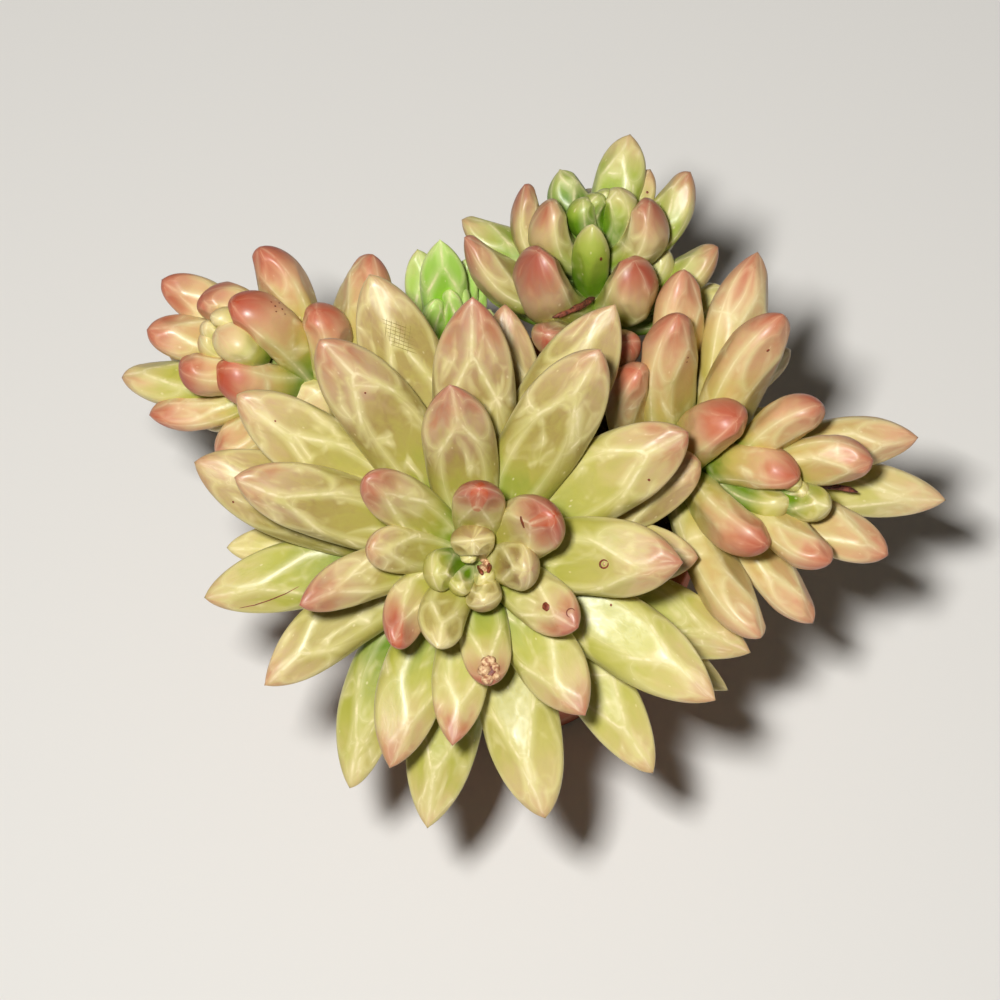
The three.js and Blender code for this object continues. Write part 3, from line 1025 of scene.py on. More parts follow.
@dataclass
class Rosette:
    """A rosette of leaves on its own short stem."""

    node: str
    slot: Slot
    finish: LeafFinish
    root: Range
    heart: Point
    axis: Point
    leafy: float
    stem: Range
    foot: float
    blunt: float
    plump: float
    groups: int
    leaves: list[tuple[float, ...]]
    soil_top: float = 64
    root_depth: float = 10
    root_steps: int = 6
    bend_steps: int = 16
    taper_steps: int = 14
    heart_start: float = 2.5
    whorl_spread: float = 0.9
    root_sink: float = 0.7
    reach: float = 0.45
    stem_sides: int = 28
    scar_spacing: float = 3.2
    scar_depth: float = 0.06
    rings_a_scar: int = 5
    seeds_apart: int = 100

    def leaf_base(self, tip: np.ndarray, order: int) -> np.ndarray:
        """Where a leaf grows from the stem.

        Args:
            tip: The leaf's tip.
            order: Its number, counted from the heart outwards.

        Returns:
            The point at the stem, a step lower for each leaf further out.
        """
        axis = VIEW.aimed(self.axis)
        share = (order + 1) / len(self.leaves)
        foot = VIEW.seen(self.heart) - axis * (self.heart_start + self.leafy * share ** self.whorl_spread)
        out = tip - foot
        out = unit(out - axis * float(out @ axis))
        inner, outer = self.stem
        return foot + out * self.root_sink * (inner + (outer - inner) * share)

    def build(self) -> dict[int, BVHTree]:
        """Builds the leaves and the stem.

        Returns:
            The leaves' surfaces by number, to place marks on.
        """
        material = self.finish.make()
        axis = VIEW.aimed(self.axis)
        surfaces: dict[int, BVHTree] = {}
        size = math.ceil(len(self.leaves) / self.groups)
        for group in range(self.groups):
            skin = Skin()
            for order in range(group * size, min((group + 1) * size, len(self.leaves))):
                row = LeafRow(*self.leaves[order])
                tip = VIEW.seen((row.right, row.up, row.towards))
                seed = sum(map(ord, self.node)) * self.seeds_apart + order
                first, before = len(skin.faces), skin.count
                base = self.leaf_base(tip, order)
                Leaf(base, tip, axis, row, self.foot, self.blunt, self.plump, seed).build(skin)
                faces = [tuple(corner - before for corner in face) for face in skin.faces[first:]]
                surfaces[order] = BVHTree.FromPolygons(skin.points[-1].tolist(), faces)
            skin.to_piece(f"{self.node}_leaves_{group + 1}", material, (self.node,))
        self._build_stem()
        return surfaces

    def _spine(self) -> tuple[np.ndarray, np.ndarray]:
        """The stem's middle line and its radius along it.

        Returns:
            Points from the root in the soil to the heart, and a radius for each.
        """
        axis = VIEW.aimed(self.axis)
        heart = VIEW.seen(self.heart)
        start = np.array([*self.root, self.soil_top])
        end = heart - axis * self.leafy
        pull = float(np.linalg.norm(end - start)) * self.reach
        corners = (start, start + np.array([0, 0, pull]), end - axis * pull, end)
        steps = np.linspace(0, 1, self.bend_steps)[:, None]
        weights = ((1 - steps) ** 3, 3 * steps * (1 - steps) ** 2, 3 * steps ** 2 * (1 - steps), steps ** 3)
        bend = sum(weight * corner for weight, corner in zip(weights, corners))
        root = start - np.array([[0, 0, self.root_depth]]) * np.linspace(1, 0.1, self.root_steps)[:, None]
        taper_steps = np.linspace(0.06, 1, self.taper_steps)[:, None]
        taper = end + axis * (self.leafy - self.heart_start) * taper_steps
        inner, outer = self.stem
        narrowing = outer + (inner - outer) * taper_steps[:, 0]
        radii = np.concatenate([np.full(len(root) + len(bend), outer), narrowing])
        return np.concatenate([root, bend, taper]), radii

    def _build_stem(self) -> None:
        """Builds the corky stem, ringed with the scars of lost leaves."""
        spine, radii = self._spine()
        pace = np.gradient(spine, axis=0)
        pace /= np.linalg.norm(pace, axis=1)[:, None]
        length = np.concatenate([[0], np.cumsum(np.linalg.norm(np.diff(spine, axis=0), axis=1))])
        fine = np.arange(0, length[-1], self.scar_spacing / self.rings_a_scar)
        spine, pace = (np.stack([np.interp(fine, length, line[:, k]) for k in range(3)], axis=1)
                       for line in (spine, pace))
        radii = np.interp(fine, length, radii)
        turn = full_turn(self.stem_sides)
        lift = fine[:, None] / self.scar_spacing + 0.5 * np.sin(3 * turn)[None, :]
        patchy = 0.5 + 0.5 * np.sin(2 * turn + fine[:, None] * 1.7)
        scar = np.maximum(0, np.cos(2 * math.pi * lift)) ** 3 * patchy
        radius = radii[:, None] * (1 + 0.03 * np.sin(4 * turn + fine[:, None] * 0.8) - self.scar_depth * scar)
        points = rings_round(spine, pace, np.array([0.0, 1.0, 0.2]), radius, turn)
        along = np.repeat((fine / fine[-1])[:, None], self.stem_sides, axis=1)
        skin = Skin()
        skin.add_tube(points, [spine[0], spine[-1]],
                      {"along": np.append(along.ravel(), [0, 1]), "scar": np.append(scar.ravel(), [0, 0])})
        skin.to_piece(f"{self.node}_stem", StemFinish().make(), (self.node,))


@dataclass
class Pot:
    """A plain flared clay pot with a rolled rim and three drain holes."""

    height: float = 70
    top_radius: float = 39
    base_radius: float = 29
    wall: float = 3.5
    floor: float = 5
    rim_height: float = 13
    rim_proud: float = 2
    rim_ease: float = 0.4
    foot_ease: float = 0.6
    drain_radius: float = 3.5
    drain_circle: float = 14
    drain_count: int = 3
    edge_radius: float = 1.2
    edge_steps: int = 6
    sides: int = 144

    def profile(self) -> list[tuple[float, float]]:
        """The pot's section, from the middle of its underside round to the middle of its inner floor.

        Returns:
            Radius and height of each point.
        """
        wall_radius = self.top_radius - self.rim_proud
        rim_foot = self.height - self.rim_height
        corners = [
            (0.0, 0.0), (self.base_radius - self.foot_ease, 0.0), (wall_radius, rim_foot + self.rim_ease),
            (self.top_radius, rim_foot), (self.top_radius, self.height),
            (self.top_radius - self.wall, self.height), (wall_radius - self.wall, rim_foot),
            (self.base_radius - self.wall, self.floor), (0.0, self.floor),
        ]
        return self._eased(corners)

    def _eased(self, corners: list[tuple[float, float]]) -> list[tuple[float, float]]:
        """Rounds the corners of a section and puts points along its straight stretches.

        Args:
            corners: Radius and height of each corner.

        Returns:
            The same section with rounded corners.
        """
        made = [corners[0]]
        for before, corner, after in zip(corners, corners[1:], corners[2:]):
            here = np.array(corner)
            back, ahead = np.array(before) - here, np.array(after) - here
            ease = min(self.edge_radius, np.linalg.norm(back) / 2.2, np.linalg.norm(ahead) / 2.2)
            first, last = here + unit(back) * ease, here + unit(ahead) * ease
            for step in np.linspace(0, 1, self.edge_steps):
                place = (1 - step) ** 2 * first + 2 * step * (1 - step) * here + step ** 2 * last
                made.append((float(place[0]), float(place[1])))
        made.append(corners[-1])
        return made

    def build(self) -> None:
        """Builds and dresses the pot."""
        section = self.profile()
        turn = full_turn(self.sides)
        rings = np.array([level_ring(radius, height, turn) for radius, height in section[1:-1]])
        skin = Skin()
        skin.add_tube(rings, [(0, 0, section[0][1]), (0, 0, section[-1][1])])
        pot = skin.to_piece("pot_clay_body", ClayFinish().make(), ("pot",))
        self._drain(pot)

    def _drain(self, pot: bpy.types.Object) -> None:
        """Cuts the drain holes out of the pot's piece."""
        drill = Skin()
        turn = full_turn(32)
        heights = (-self.floor, 2 * self.floor)
        for hole in range(self.drain_count):
            angle = 2 * math.pi * hole / self.drain_count + math.pi / 2
            middle = np.array(level_ring(self.drain_circle, 0, [angle])[0])
            rings = np.array([middle + level_ring(self.drain_radius, height, turn) for height in heights])
            drill.add_tube(rings, [middle + (0, 0, height) for height in heights])
        mesh = bpy.data.meshes.new("drill")
        mesh.from_pydata((np.concatenate(drill.points) * MM).tolist(), [], drill.faces)
        cutter = add_object("drill", mesh)
        cut = pot.modifiers.new("drain", "BOOLEAN")
        cut.object = cutter
        cut.operation = "DIFFERENCE"
        cut.solver = "EXACT"
        shaped = bpy.data.meshes.new_from_object(pot.evaluated_get(bpy.context.evaluated_depsgraph_get()))
        pot.modifiers.remove(cut)
        pot.data = shaped
        bpy.data.objects.remove(cutter)


@dataclass
class Soil:
    """Potting mix up to just under the rim, with chips of pumice and gravel lying on it."""

    radius: float = 33.2
    base_radius: float = 25.2
    bottom: float = 5.3
    rim_foot: float = 57
    top: float = 64
    crown: float = 3
    settled: float = 0.6
    relief: float = 0.7
    crumb: float = 3.0
    chips: int = 330
    chip_radius: Range = (0.7, 1.9)
    chip_flatness: Range = (0.6, 1.0)
    chip_lift: float = 0.2
    rim_clear: float = 2
    lumpiness: float = 0.45
    darkest: float = 0.75
    innermost: float = 0.7
    fineness: int = 46
    sides: int = 120
    seed: int = 41

    def surface(self, x: float, y: float) -> float:
        """Height of the crumbly surface at a place across and one from front to back."""
        out = math.hypot(x, y) / self.radius
        rough = noise.fractal(Vector((x, y, 0)) / self.crumb, 1.0, 2.0, 4)
        return self.top - self.crown * out - self.settled + self.relief * rough

    def build(self, stems: list[tuple[float, float, float]]) -> None:
        """Builds the fill and the chips.

        Args:
            stems: Place and radius of each stem in the soil.
        """
        turn = full_turn(self.sides)
        rings = [level_ring(self.base_radius, self.bottom, turn),
                 level_ring(self.radius, self.rim_foot, turn)]
        for radius in np.linspace(self.radius, self.innermost, self.fineness):
            rings.append([(x, y, self.surface(x, y)) for x, y, _ in level_ring(radius, 0, turn)])
        skin = Skin()
        skin.add_tube(np.array(rings), [(0, 0, self.bottom), (0, 0, self.surface(0, 0))])
        skin.to_piece("soil_fill", SoilFinish().make(), ("soil",))
        self._strew(stems)

    def _strew(self, stems: list[tuple[float, float, float]]) -> None:
        """Strews the chips between the stems.

        Args:
            stems: Place and radius of each stem in the soil.
        """
        draw = np.random.default_rng(self.seed)
        form = bmesh.new()
        bmesh.ops.create_icosphere(form, subdivisions=2, radius=1.0)
        round_points = np.array([vertex.co for vertex in form.verts])
        faces = [tuple(vertex.index for vertex in face.verts) for face in form.faces]
        form.free()
        skin = Skin()
        while len(skin.points) < self.chips:
            away = (self.radius - self.rim_clear) * math.sqrt(draw.uniform())
            angle = draw.uniform(0, 2 * math.pi)
            x, y = away * math.cos(angle), away * math.sin(angle)
            size = draw.uniform(*self.chip_radius)
            if any(math.hypot(x - sx, y - sy) < radius + size for sx, sy, radius in stems):
                continue
            start = draw.uniform(0, 100, 3)
            swollen = [1 + self.lumpiness * noise.noise(Vector(p * 1.4 + start)) for p in round_points]
            chip = round_points * np.array(swollen)[:, None] * size * draw.uniform(*self.chip_flatness, 3)
            spin = Vector(draw.normal(size=3)).to_track_quat("Z", "Y").to_matrix()
            chip = chip @ np.array(spin) + (x, y, self.surface(x, y) + size * self.chip_lift)
            skin.add(chip, faces, {"shade": np.full(len(chip), draw.uniform(0, self.darkest))})
        skin.to_piece("soil_chips", GritFinish().make(), ("soil",))


@dataclass
class DryTwig:
    """The dried stub of an old flower stalk, shrunken and twisted."""

    node: str
    radius: float
    route: tuple[Point, Point, Point]
    steps: int = 46
    sides: int = 20
    twist: float = 2.5
    groove: float = 0.2
    seed: int = 3

    def build(self) -> None:
        """Builds the twig."""
        root, middle, end = (VIEW.seen(place) for place in self.route)
        along = np.linspace(0, 1, self.steps)
        pull = 2 * middle - (root + end) / 2
        line = ((1 - along) ** 2)[:, None] * root + (2 * along * (1 - along))[:, None] * pull
        line = line + (along ** 2)[:, None] * end
        pace = np.gradient(line, axis=0)
        pace /= np.linalg.norm(pace, axis=1)[:, None]
        turn = full_turn(self.sides)
        wound = turn[None, :] * 3 + 2 * math.pi * self.twist * along[:, None]
        knots = 0.16 * np.sin(9 * along + self.seed) + 0.1 * np.sin(23 * along)
        thin = 1 - 0.25 * along - np.where(along > 0.9, (along - 0.9) * 5, 0)
        grooves = 1 - self.groove * (0.5 + 0.5 * np.sin(wound))
        radius = self.radius * (thin + knots * thin)[:, None] * grooves
        skin = Skin()
        skin.add_tube(rings_round(line, pace, VIEW.directions()[2], radius, turn), [line[0], line[-1]])
        skin.to_piece(f"{self.node}_stub", DryFinish(f"{self.node}_tissue").make(), (self.node,))


class Stroke(NamedTuple):
    """A small mark on a leaf: its line as seen, and how broad and high it stands."""

    line: tuple[Range, ...]
    breadth: float
    height: float


@dataclass
class Marks:
    """Small marks on a rosette's leaves that share one kind of dead or hurt tissue."""

    name: str
    node: str
    slot: Slot
    finish: DryFinish
    strokes: tuple[Stroke, ...]
    stations: int = 13
    sides: int = 12
    roughness: float = 0.22
    overrun: float = 0.3

    def build(self, surfaces: dict[int, BVHTree]) -> None:
        """Lays the marks on the leaves, given by number, that the eye meets at their places."""
        skin = Skin()
        for stroke in self.strokes:
            self._lay(stroke, surfaces, skin)
        skin.to_piece(self.name, self.finish.make(), (self.node,))

    def _met(self, place: np.ndarray, surfaces: dict[int, BVHTree]) -> tuple[np.ndarray, np.ndarray]:
        """The point of a leaf that is seen at a place.

        Args:
            place: Right and up.
            surfaces: The leaves.

        Returns:
            The point and the direction that the leaf's skin faces there.
        """
        eye = VIEW.eye()
        ray = unit(VIEW.seen((place[0], place[1], 0)) - eye)
        hits = [surface.ray_cast(Vector(eye), Vector(ray)) for surface in surfaces.values()]
        point, normal, _, _ = min((hit for hit in hits if hit[0] is not None), key=lambda hit: hit[3])
        facing = np.array(normal)
        return np.array(point), facing if facing @ ray < 0 else -facing

    def _lay(self, stroke: Stroke, surfaces: dict[int, BVHTree], skin: Skin) -> None:
        """Adds one mark to the skin.

        Args:
            stroke: The mark.
            surfaces: The leaves.
            skin: The mesh that it is added to.
        """
        line = np.array(stroke.line, dtype=float)
        steps = np.linspace(0, len(line) - 1, self.stations)
        places = np.stack([np.interp(steps, range(len(line)), line[:, k]) for k in range(2)], axis=1)
        met = [self._met(place, surfaces) for place in places]
        points, facing = np.array([m[0] for m in met]), np.array([m[1] for m in met])
        pace = np.gradient(points, axis=0)
        across = np.cross(facing, pace)
        across /= np.maximum(np.linalg.norm(across, axis=1), 1e-6)[:, None]
        along = np.linspace(0.06, 0.94, self.stations)
        swell = np.sqrt(np.sin(math.pi * along))
        turn = full_turn(self.sides)
        rings = []
        for point, out, side, share in zip(points, facing, across, swell):
            lumps = [noise.noise(Vector(point * 1.3) + Vector((angle, 0, 0))) for angle in turn]
            ragged = 1 + self.roughness * np.array(lumps)
            ring = point + (side * stroke.breadth * share) * (np.cos(turn) * ragged)[:, None]
            rings.append(ring + (out * stroke.height) * (share * np.sin(turn) * ragged)[:, None])
        ends = [points[0] - pace[0] * self.overrun, points[-1] + pace[-1] * self.overrun]
        skin.add_tube(np.array(rings), ends)


@dataclass
class Studio:
    """A pale floor and plain soft light from the upper left."""

    floor_half: float = 1500
    key_place: Point = (-620, 540, 800)
    key_size: float = 80
    key_power: float = 8.9
    fill_place: Point = (700, -300, 700)
    fill_size: float = 900
    fill_power: float = 0.1
    sky: str = "#F4F2EE"
    sky_strength: float = 0.05

    def build(self) -> None:
        """Builds the floor, the lights and the sky."""
        half = self.floor_half * MM
        mesh = bpy.data.meshes.new("floor")
        corners = [(-half, -half, 0), (half, -half, 0), (half, half, 0), (-half, half, 0)]
        mesh.from_pydata(corners, [], [(0, 1, 2, 3)])
        mesh.materials.append(FloorFinish().make())
        floor = add_object("floor", mesh)
        self._add_light("key", self.key_place, self.key_size, self.key_power)
        self._add_light("fill", self.fill_place, self.fill_size, self.fill_power)
        world = bpy.data.worlds.new("studio")
        world.use_nodes = True
        background = world.node_tree.nodes["Background"]
        background.inputs["Color"].default_value = linear(self.sky)
        background.inputs["Strength"].default_value = self.sky_strength
        bpy.context.scene.world = world
        bpy.context.scene.view_settings.view_transform = "Standard"

    def _add_light(self, name: str, place: Point, size: float, power: float) -> None:
        """Adds a square soft light that faces the clump.

        Args:
            name: Its name.
            place: Right, up and towards the viewer.
            size: The length of its side.
            power: Its power in watts.
        """
        data = bpy.data.lights.new(name, "AREA")
        data.size = size * MM
        data.energy = power
        light = add_object(name, data)
        where = VIEW.seen(place)
        light.location = where * MM
        light.rotation_euler = Vector(where - np.array(VIEW.middle)).to_track_quat("Z", "Y").to_euler()


def rosettes() -> list[Rosette]:
    """The five rosettes, from the heart of each out.

    Each leaf is a LeafRow: right, up, towards, width, sway, blunter, ripe and blush.

    Returns:
        The rosettes, ready to build.
    """
    main = Rosette(
        node="main_rosette", slot=Slot.MAIN, finish=LeafFinish("olive_leaf"),
        root=(0, -5), heart=(-5, -13, 4), axis=(0, -0.14, 0.99), leafy=23, stem=(1.5, 6),
        foot=0.55, blunt=1.2, plump=1, groups=3,
        leaves=[
            (-6, -11.5, 6, 4, 0, 0, -0.5, 0), (-8.5, -18, 7, 5, 0, 0, -0.6, 0),
            (-3, -16, 5, 4.5, 0, 0, -0.4, 0.1), (-5.5, -8, 9.5, 9, 0, -0.3, 0.95, 0.05),
            (-13.5, -15, 8.5, 8.5, 0, 0, -0.6, 0), (-3, -21, 7, 7.5, 0, 0, 0.85, 0.15),
            (6, -14, 11, 10, 0, 0.4, 0.9, 0.3), (-12.5, -29.5, 11, 10, -1.5, 0, 0.6, 0.2),
            (-4, 2.5, 18, 10.8, 0, 0.5, 0.35, 1), (11, -3, 16, 13.5, 0, 0.5, 0.5, 1),
            (-21.5, -29, 6, 10, -3, 0.8, 0.4, 1), (-26.5, -9.5, 8, 10, 0, 0.8, 0.6, 0.5),
            (-27, 4.5, 12, 11, 0, 0.8, 0.5, 0.85), (15.5, -25.5, 5, 11.5, 0, 0.3, 0.2, 0.9),
            (-2, -37, 1, 10.5, 0, 0.7, -0.2, 0.85), (-40, -21, 4, 10.5, -2, 0.2, 0.6, 0.85),
            (-10, 23, 14, 15, 0, 0, 0.85, 0.8), (36.5, -12.5, 3, 16.5, 0, 0, 0.25, 0.75),
            (17, -43, -1, 14, 0, 0, -0.1, 0.75), (-9.5, -49, -3.5, 11.5, 0, 0, -0.1, 0.75),
            (20, 30, 12, 16.5, 0, 0.2, 0.65, 0.55), (-53, 4.5, 3, 14.5, 0, 0.2, 0.7, 0.6),
            (37.5, 13.5, 1, 16.5, 0, 0.3, 0.25, 0.7), (-36, 32, 7.5, 16, -1, 0.3, 0.75, 0.65),
            (-22, -53.5, -9.5, 14, -2, 0, -0.2, 0.7), (-52.5, 21, 0, 15.5, 1, 0.3, 0.45, 0.5),
            (43, -40, -7, 16, 1, 0, 0, 0.5), (-5.5, 40.5, 6, 17, 0, 0, 0.85, 0.75),
            (9, -63.5, -15.5, 16, 0, 0.2, 0.2, 0.45), (-26, 45, -3, 17, 0, 0.2, 0.7, 0.4),
            (-47, -37, -13, 13.5, -2.5, 0, 0.45, 0.5), (23, 39, -3, 17, 0, 0, 0.65, 0.5),
            (-61, 7.5, -12, 17, 2, 0.2, 0.6, 0.5), (30.5, -54.5, -21.5, 13.5, 2, 0.2, -0.1, 0.45),
            (-14.5, -65.5, -26, 15.5, 0, 0, -0.35, 0.35), (-59, -19.5, -22, 14.5, -1, 0.2, -0.35, 0.45),
            (-30, -57.5, -27.5, 13.5, -5, 0.2, -0.4, 0.3), (50, -30.5, -29, 15, 0.5, 0, -0.3, 0.5),
            (40, 7.5, -13, 15, -1.5, 0.8, 0.75, 0.5), (1, 39, -16, 13, -3.5, 0.2, 0.8, 0.6),
            (39.5, -11.5, -17, 13.5, 0, 0.3, 0.5, 0.5), (-54.5, -9.5, -29, 11, 0, 0.3, 0.3, 0.2),
            (45.5, -38, -35, 11, 0, 0, 0.2, 0.3),
        ],
    )
    left = Rosette(
        node="left_rosette", slot=Slot.LEFT, finish=LeafFinish(
            "rosy_leaf", flesh="#B2AE4E", pale="#D4CA8A", tan="#C0935E", salmon="#C4714E", tip="#B04E38",
            mauve="#AC6A54", rose="#DAA482"),
        root=(-21, 14), heart=(-53.5, 32.5, -23), axis=(-0.71, 0.38, 0.59), leafy=23, stem=(1.2, 3.2),
        foot=0.72, blunt=1.8, plump=1.35, groups=2,
        leaves=[
            (-59.5, 35, -20.5, 4.5, 0, 0, -0.2, 0.3), (-57.5, 37, -18.5, 5, 0, 0, -0.2, 0.3),
            (-60, 32.5, -22, 6, 0, 0, -0.2, 0.4), (-56.5, 33.5, -17.5, 8.5, 0, -0.5, -0.1, 0.4),
            (-59.5, 41, -23, 10.5, -1.5, 0, 0.6, 0.9), (-64, 26, -21.5, 9.5, 0, 0.2, 0.7, 0.9),
            (-70.5, 34, -27.5, 10, -1, 0, 0.6, 0.85), (-67.5, 44, -31, 10, -1, 0, 0.5, 0.9),
            (-75.5, 24.5, -38.5, 10.5, 1.5, -0.1, -0.3, 0.55), (-59, 15, -44, 8.5, 0, 0, 0.3, 0.3),
            (-66, 30, -57, 9.5, 0, 0, 0.4, 0.5), (-70, 17, -34.5, 10, 1, -0.2, 0.7, 0.85),
            (-64, 40, -62, 9.5, 0, 0, 0.3, 0.5), (-57, 42, -51, 9.5, 0, 0, 0.3, 0.5),
            (-56, 26, -19.5, 10.5, 0, 0.4, 0.6, 0.95), (-53.5, 39.5, -16, 12, 0, 0.3, 0.7, 0.95),
            (-48, 50.5, -23.5, 12, 0, 0, 0.7, 0.9), (-60, 22, -60, 9.5, 0, 0, 0.4, 0.4),
            (-36.5, 38, -20, 10.5, 0, 0.2, 0.8, 0.8), (-56.5, 8.5, -30.5, 12, -1.5, -0.2, 0.6, 0.7),
            (-39, 19.5, -29, 9, 0, 0, 0.3, 0.2), (-25.5, 49, -26.5, 13, 0, -0.2, 0.6, 0.75),
            (-42, 12, -46.5, 9.5, 0, 0, 0.3, 0.3),
        ],
    )
    top = Rosette(
        node="top_rosette", slot=Slot.TOP, finish=LeafFinish("green_leaf", shade="#5C8212", flesh="#94A53A"),
        root=(10, 25), heart=(20.3, 56, -23), axis=(0.052, 0.741, 0.669), leafy=27, stem=(1.2, 3.6),
        foot=0.7, blunt=1.6, plump=1.3, groups=2,
        leaves=[
            (19.5, 61, -20, 5, 0, 0, -0.8, 0), (16.5, 60, -19, 6, 0, 0, -0.8, 0),
            (21.5, 62, -22.5, 6, 0, 0, -0.7, 0), (24, 62, -20, 7.5, 0, 0, -0.4, 0.3),
            (12, 66, -27.5, 9, 0, -0.6, -0.8, 0), (26, 73, -30.5, 10.5, 0, -0.3, -0.2, 0.5),
            (30, 66, -33, 7.5, 0, -0.2, 0.4, 0.6), (30, 59.5, -18, 10.5, -1.5, 0, 0.7, 0.75),
            (10, 59.5, -17, 10, 2, 0, 0.55, 0.6), (38, 65.5, -28, 10, -2, 0, -0.2, 0.7),
            (5, 63, -24, 9.5, 4, 0, 0.6, 0.8), (18, 62, -62, 10.5, 0, 0, 0.2, 0.3),
            (-7.5, 56, -31, 9.5, 0, 0, -0.5, 0.5), (27, 64, -60, 10.5, 0, 0, 0.2, 0.3),
            (-7, 52.5, -22.5, 11.5, 4, -0.2, 0.65, 0.75), (12, 62, -63.5, 9.5, 0, 0, 0.2, 0.3),
            (18.5, 55, -14, 8, 0, -0.2, -0.5, 0.1), (7.5, 49.5, -12, 14, 3, 0.2, 0.85, 0.88),
            (26.8, 47.5, -17, 12, -1.8, 0.1, 0.55, 0.8), (36, 60, -60, 9.5, 0, 0, 0.2, 0.3),
            (43.5, 50.5, -30, 10, -1, 0, -0.3, 0.7), (33.5, 50, -30.5, 9, 0, 0, -0.5, 0.2),
            (9, 33, -11, 10, 0, 0.8, 0.3, 0.75), (25.5, 31.5, -17, 10.5, -2, 0.8, 0.3, 0.8),
            (45, 42, -40, 9.5, 0, 0, -0.2, 0.4), (-4, 46, -40, 9.5, 0, 0, -0.4, 0.2),
            (22, 60, -70, 9.5, 0, 0, 0.2, 0.3), (4, 54, -62.5, 9.5, 0, 0, 0.2, 0.3),
        ],
    )
    right = Rosette(
        node="right_rosette", slot=Slot.RIGHT, finish=LeafFinish(
            "tan_leaf", flesh="#B4AC50", pale="#D8CC90", tan="#C29A62", salmon="#C87A58", tip="#B4563C",
            mauve="#B47460", rose="#DAA482"),
        root=(27, 3), heart=(57.5, 2, -16.5), axis=(0.743, -0.185, 0.643), leafy=35, stem=(1.2, 3.6),
        foot=0.72, blunt=1.6, plump=1.35, groups=2,
        leaves=[
            (61.5, 1.5, -15, 4, 0, 0, -0.7, 0), (60, 3, -14, 4.5, 0, 0, -0.7, 0),
            (66, -1.5, -14, 8, 0, -0.2, -0.6, 0), (74.5, 8, -14.5, 11, 0.5, 0, 0.8, 0.8),
            (77.5, -11, -23, 11, 0, 0, 0.7, 0.75), (66, -12.5, -13, 10.5, 0, 0.1, 0.65, 0.8),
            (64, 19, -10, 11, 0, 0.4, 0.8, 0.8), (83.5, 12.5, -28, 11.5, 1, -0.3, 0.7, 0.6),
            (57.5, -1, -16, 7.5, 0, 0, -0.6, 0), (51.5, 49.5, -29, 14.5, 0, -0.3, 0.4, 0.7),
            (59.5, 4.5, -12, 10, 0, 0, 0.7, 0.85), (62.5, -24.5, -30, 10.5, 0, 0, 0.7, 0.7),
            (56.5, 37, -10, 14, 0, 0, 0.7, 0.75), (89, 0, -37, 12, 0, -0.3, -0.2, 0.5),
            (53, -9, -12, 12, 0, 0.3, 0.7, 0.9), (74, 4, -52, 10, 0, 0, 0.4, 0.5),
            (47.5, 16.5, -8, 13, 0, 0.5, 0.8, 0.9), (66, -9, -48, 10, 0, 0, 0.4, 0.5),
            (52, -27.5, -18, 12.5, 0, 0.1, 0.6, 0.5), (35.5, 37, -11, 13.5, 0, 0, 0.7, 0.8),
            (62, 16, -50, 10.5, 0, 0, 0.4, 0.5), (52, -15, -42, 10, 0, 0, 0.4, 0.5),
            (59, -17, -42.5, 9.5, 0, 0, 0.6, 0.6), (36.8, 46, -20, 13, -2.7, -0.1, 0.7, 0.7),
            (27.5, 26, -12, 11, 2, 0.6, 0.75, 0.75), (58, 30, -50, 11, 0, 0, 0.3, 0.4),
            (48, 40, -50, 11, 0, 0, 0.3, 0.4),
        ],
    )
    shoot = Rosette(
        node="green_shoot", slot=Slot.SHOOT,
        finish=LeafFinish("shoot_leaf", shade="#4E8408", flesh="#74A812", pale="#A6CC5C", tan="#A9B450"),
        root=(-8, 27), heart=(-11, 33, -38), axis=(-0.067, 0.763, 0.643), leafy=14, stem=(1, 3),
        foot=0.6, blunt=1.4, plump=1, groups=1,
        leaves=[
            (-10, 42, -34, 5, 0, 0, 0, 0), (-8.5, 44, -36, 6, 0, 0, 0, 0), (-13, 40, -34, 6, 0, 0, 0, 0),
            (-12, 52, -30, 10, 0, -0.3, 0, 0), (-7, 48, -40, 7, 0, 0, 0, 0.1),
            (-16.5, 50, -41, 9, 0, 0, 0.4, 0.3), (-5.5, 47.5, -44, 8.5, 0, 0, 0, 0.1),
            (-20, 38, -44, 8.5, 0, 0, 0.1, 0.1), (-2, 38, -44, 8.5, 0, 0, 0.1, 0.1),
            (-14, 48, -60, 8.5, 0, 0, 0.1, 0.1), (-7, 46, -60, 8.5, 0, 0, 0.1, 0.1),
        ],
    )
    return [main, left, top, right, shoot]


def dash(right: float, up: float, right_end: float, up_end: float, breadth: float, height: float) -> Stroke:
    """A short straight mark, from one place to the other."""
    return Stroke(((right, up), (right_end, up_end)), breadth, height)


def round_line(right: float, up: float, radius: float, share: float = 0.95,
               start: float = 0.6) -> tuple[Range, ...]:
    """A round line about a place.

    Args:
        right: The place's distance to the right.
        up: The place's distance up.
        radius: The line's radius.
        share: How much of the full round there is.
        start: The angle at which it starts.

    Returns:
        Points of the line.
    """
    turns = np.linspace(start, start + 2 * math.pi * share, 11)
    return tuple((right + radius * math.cos(a), up + radius * math.sin(a)) for a in turns)


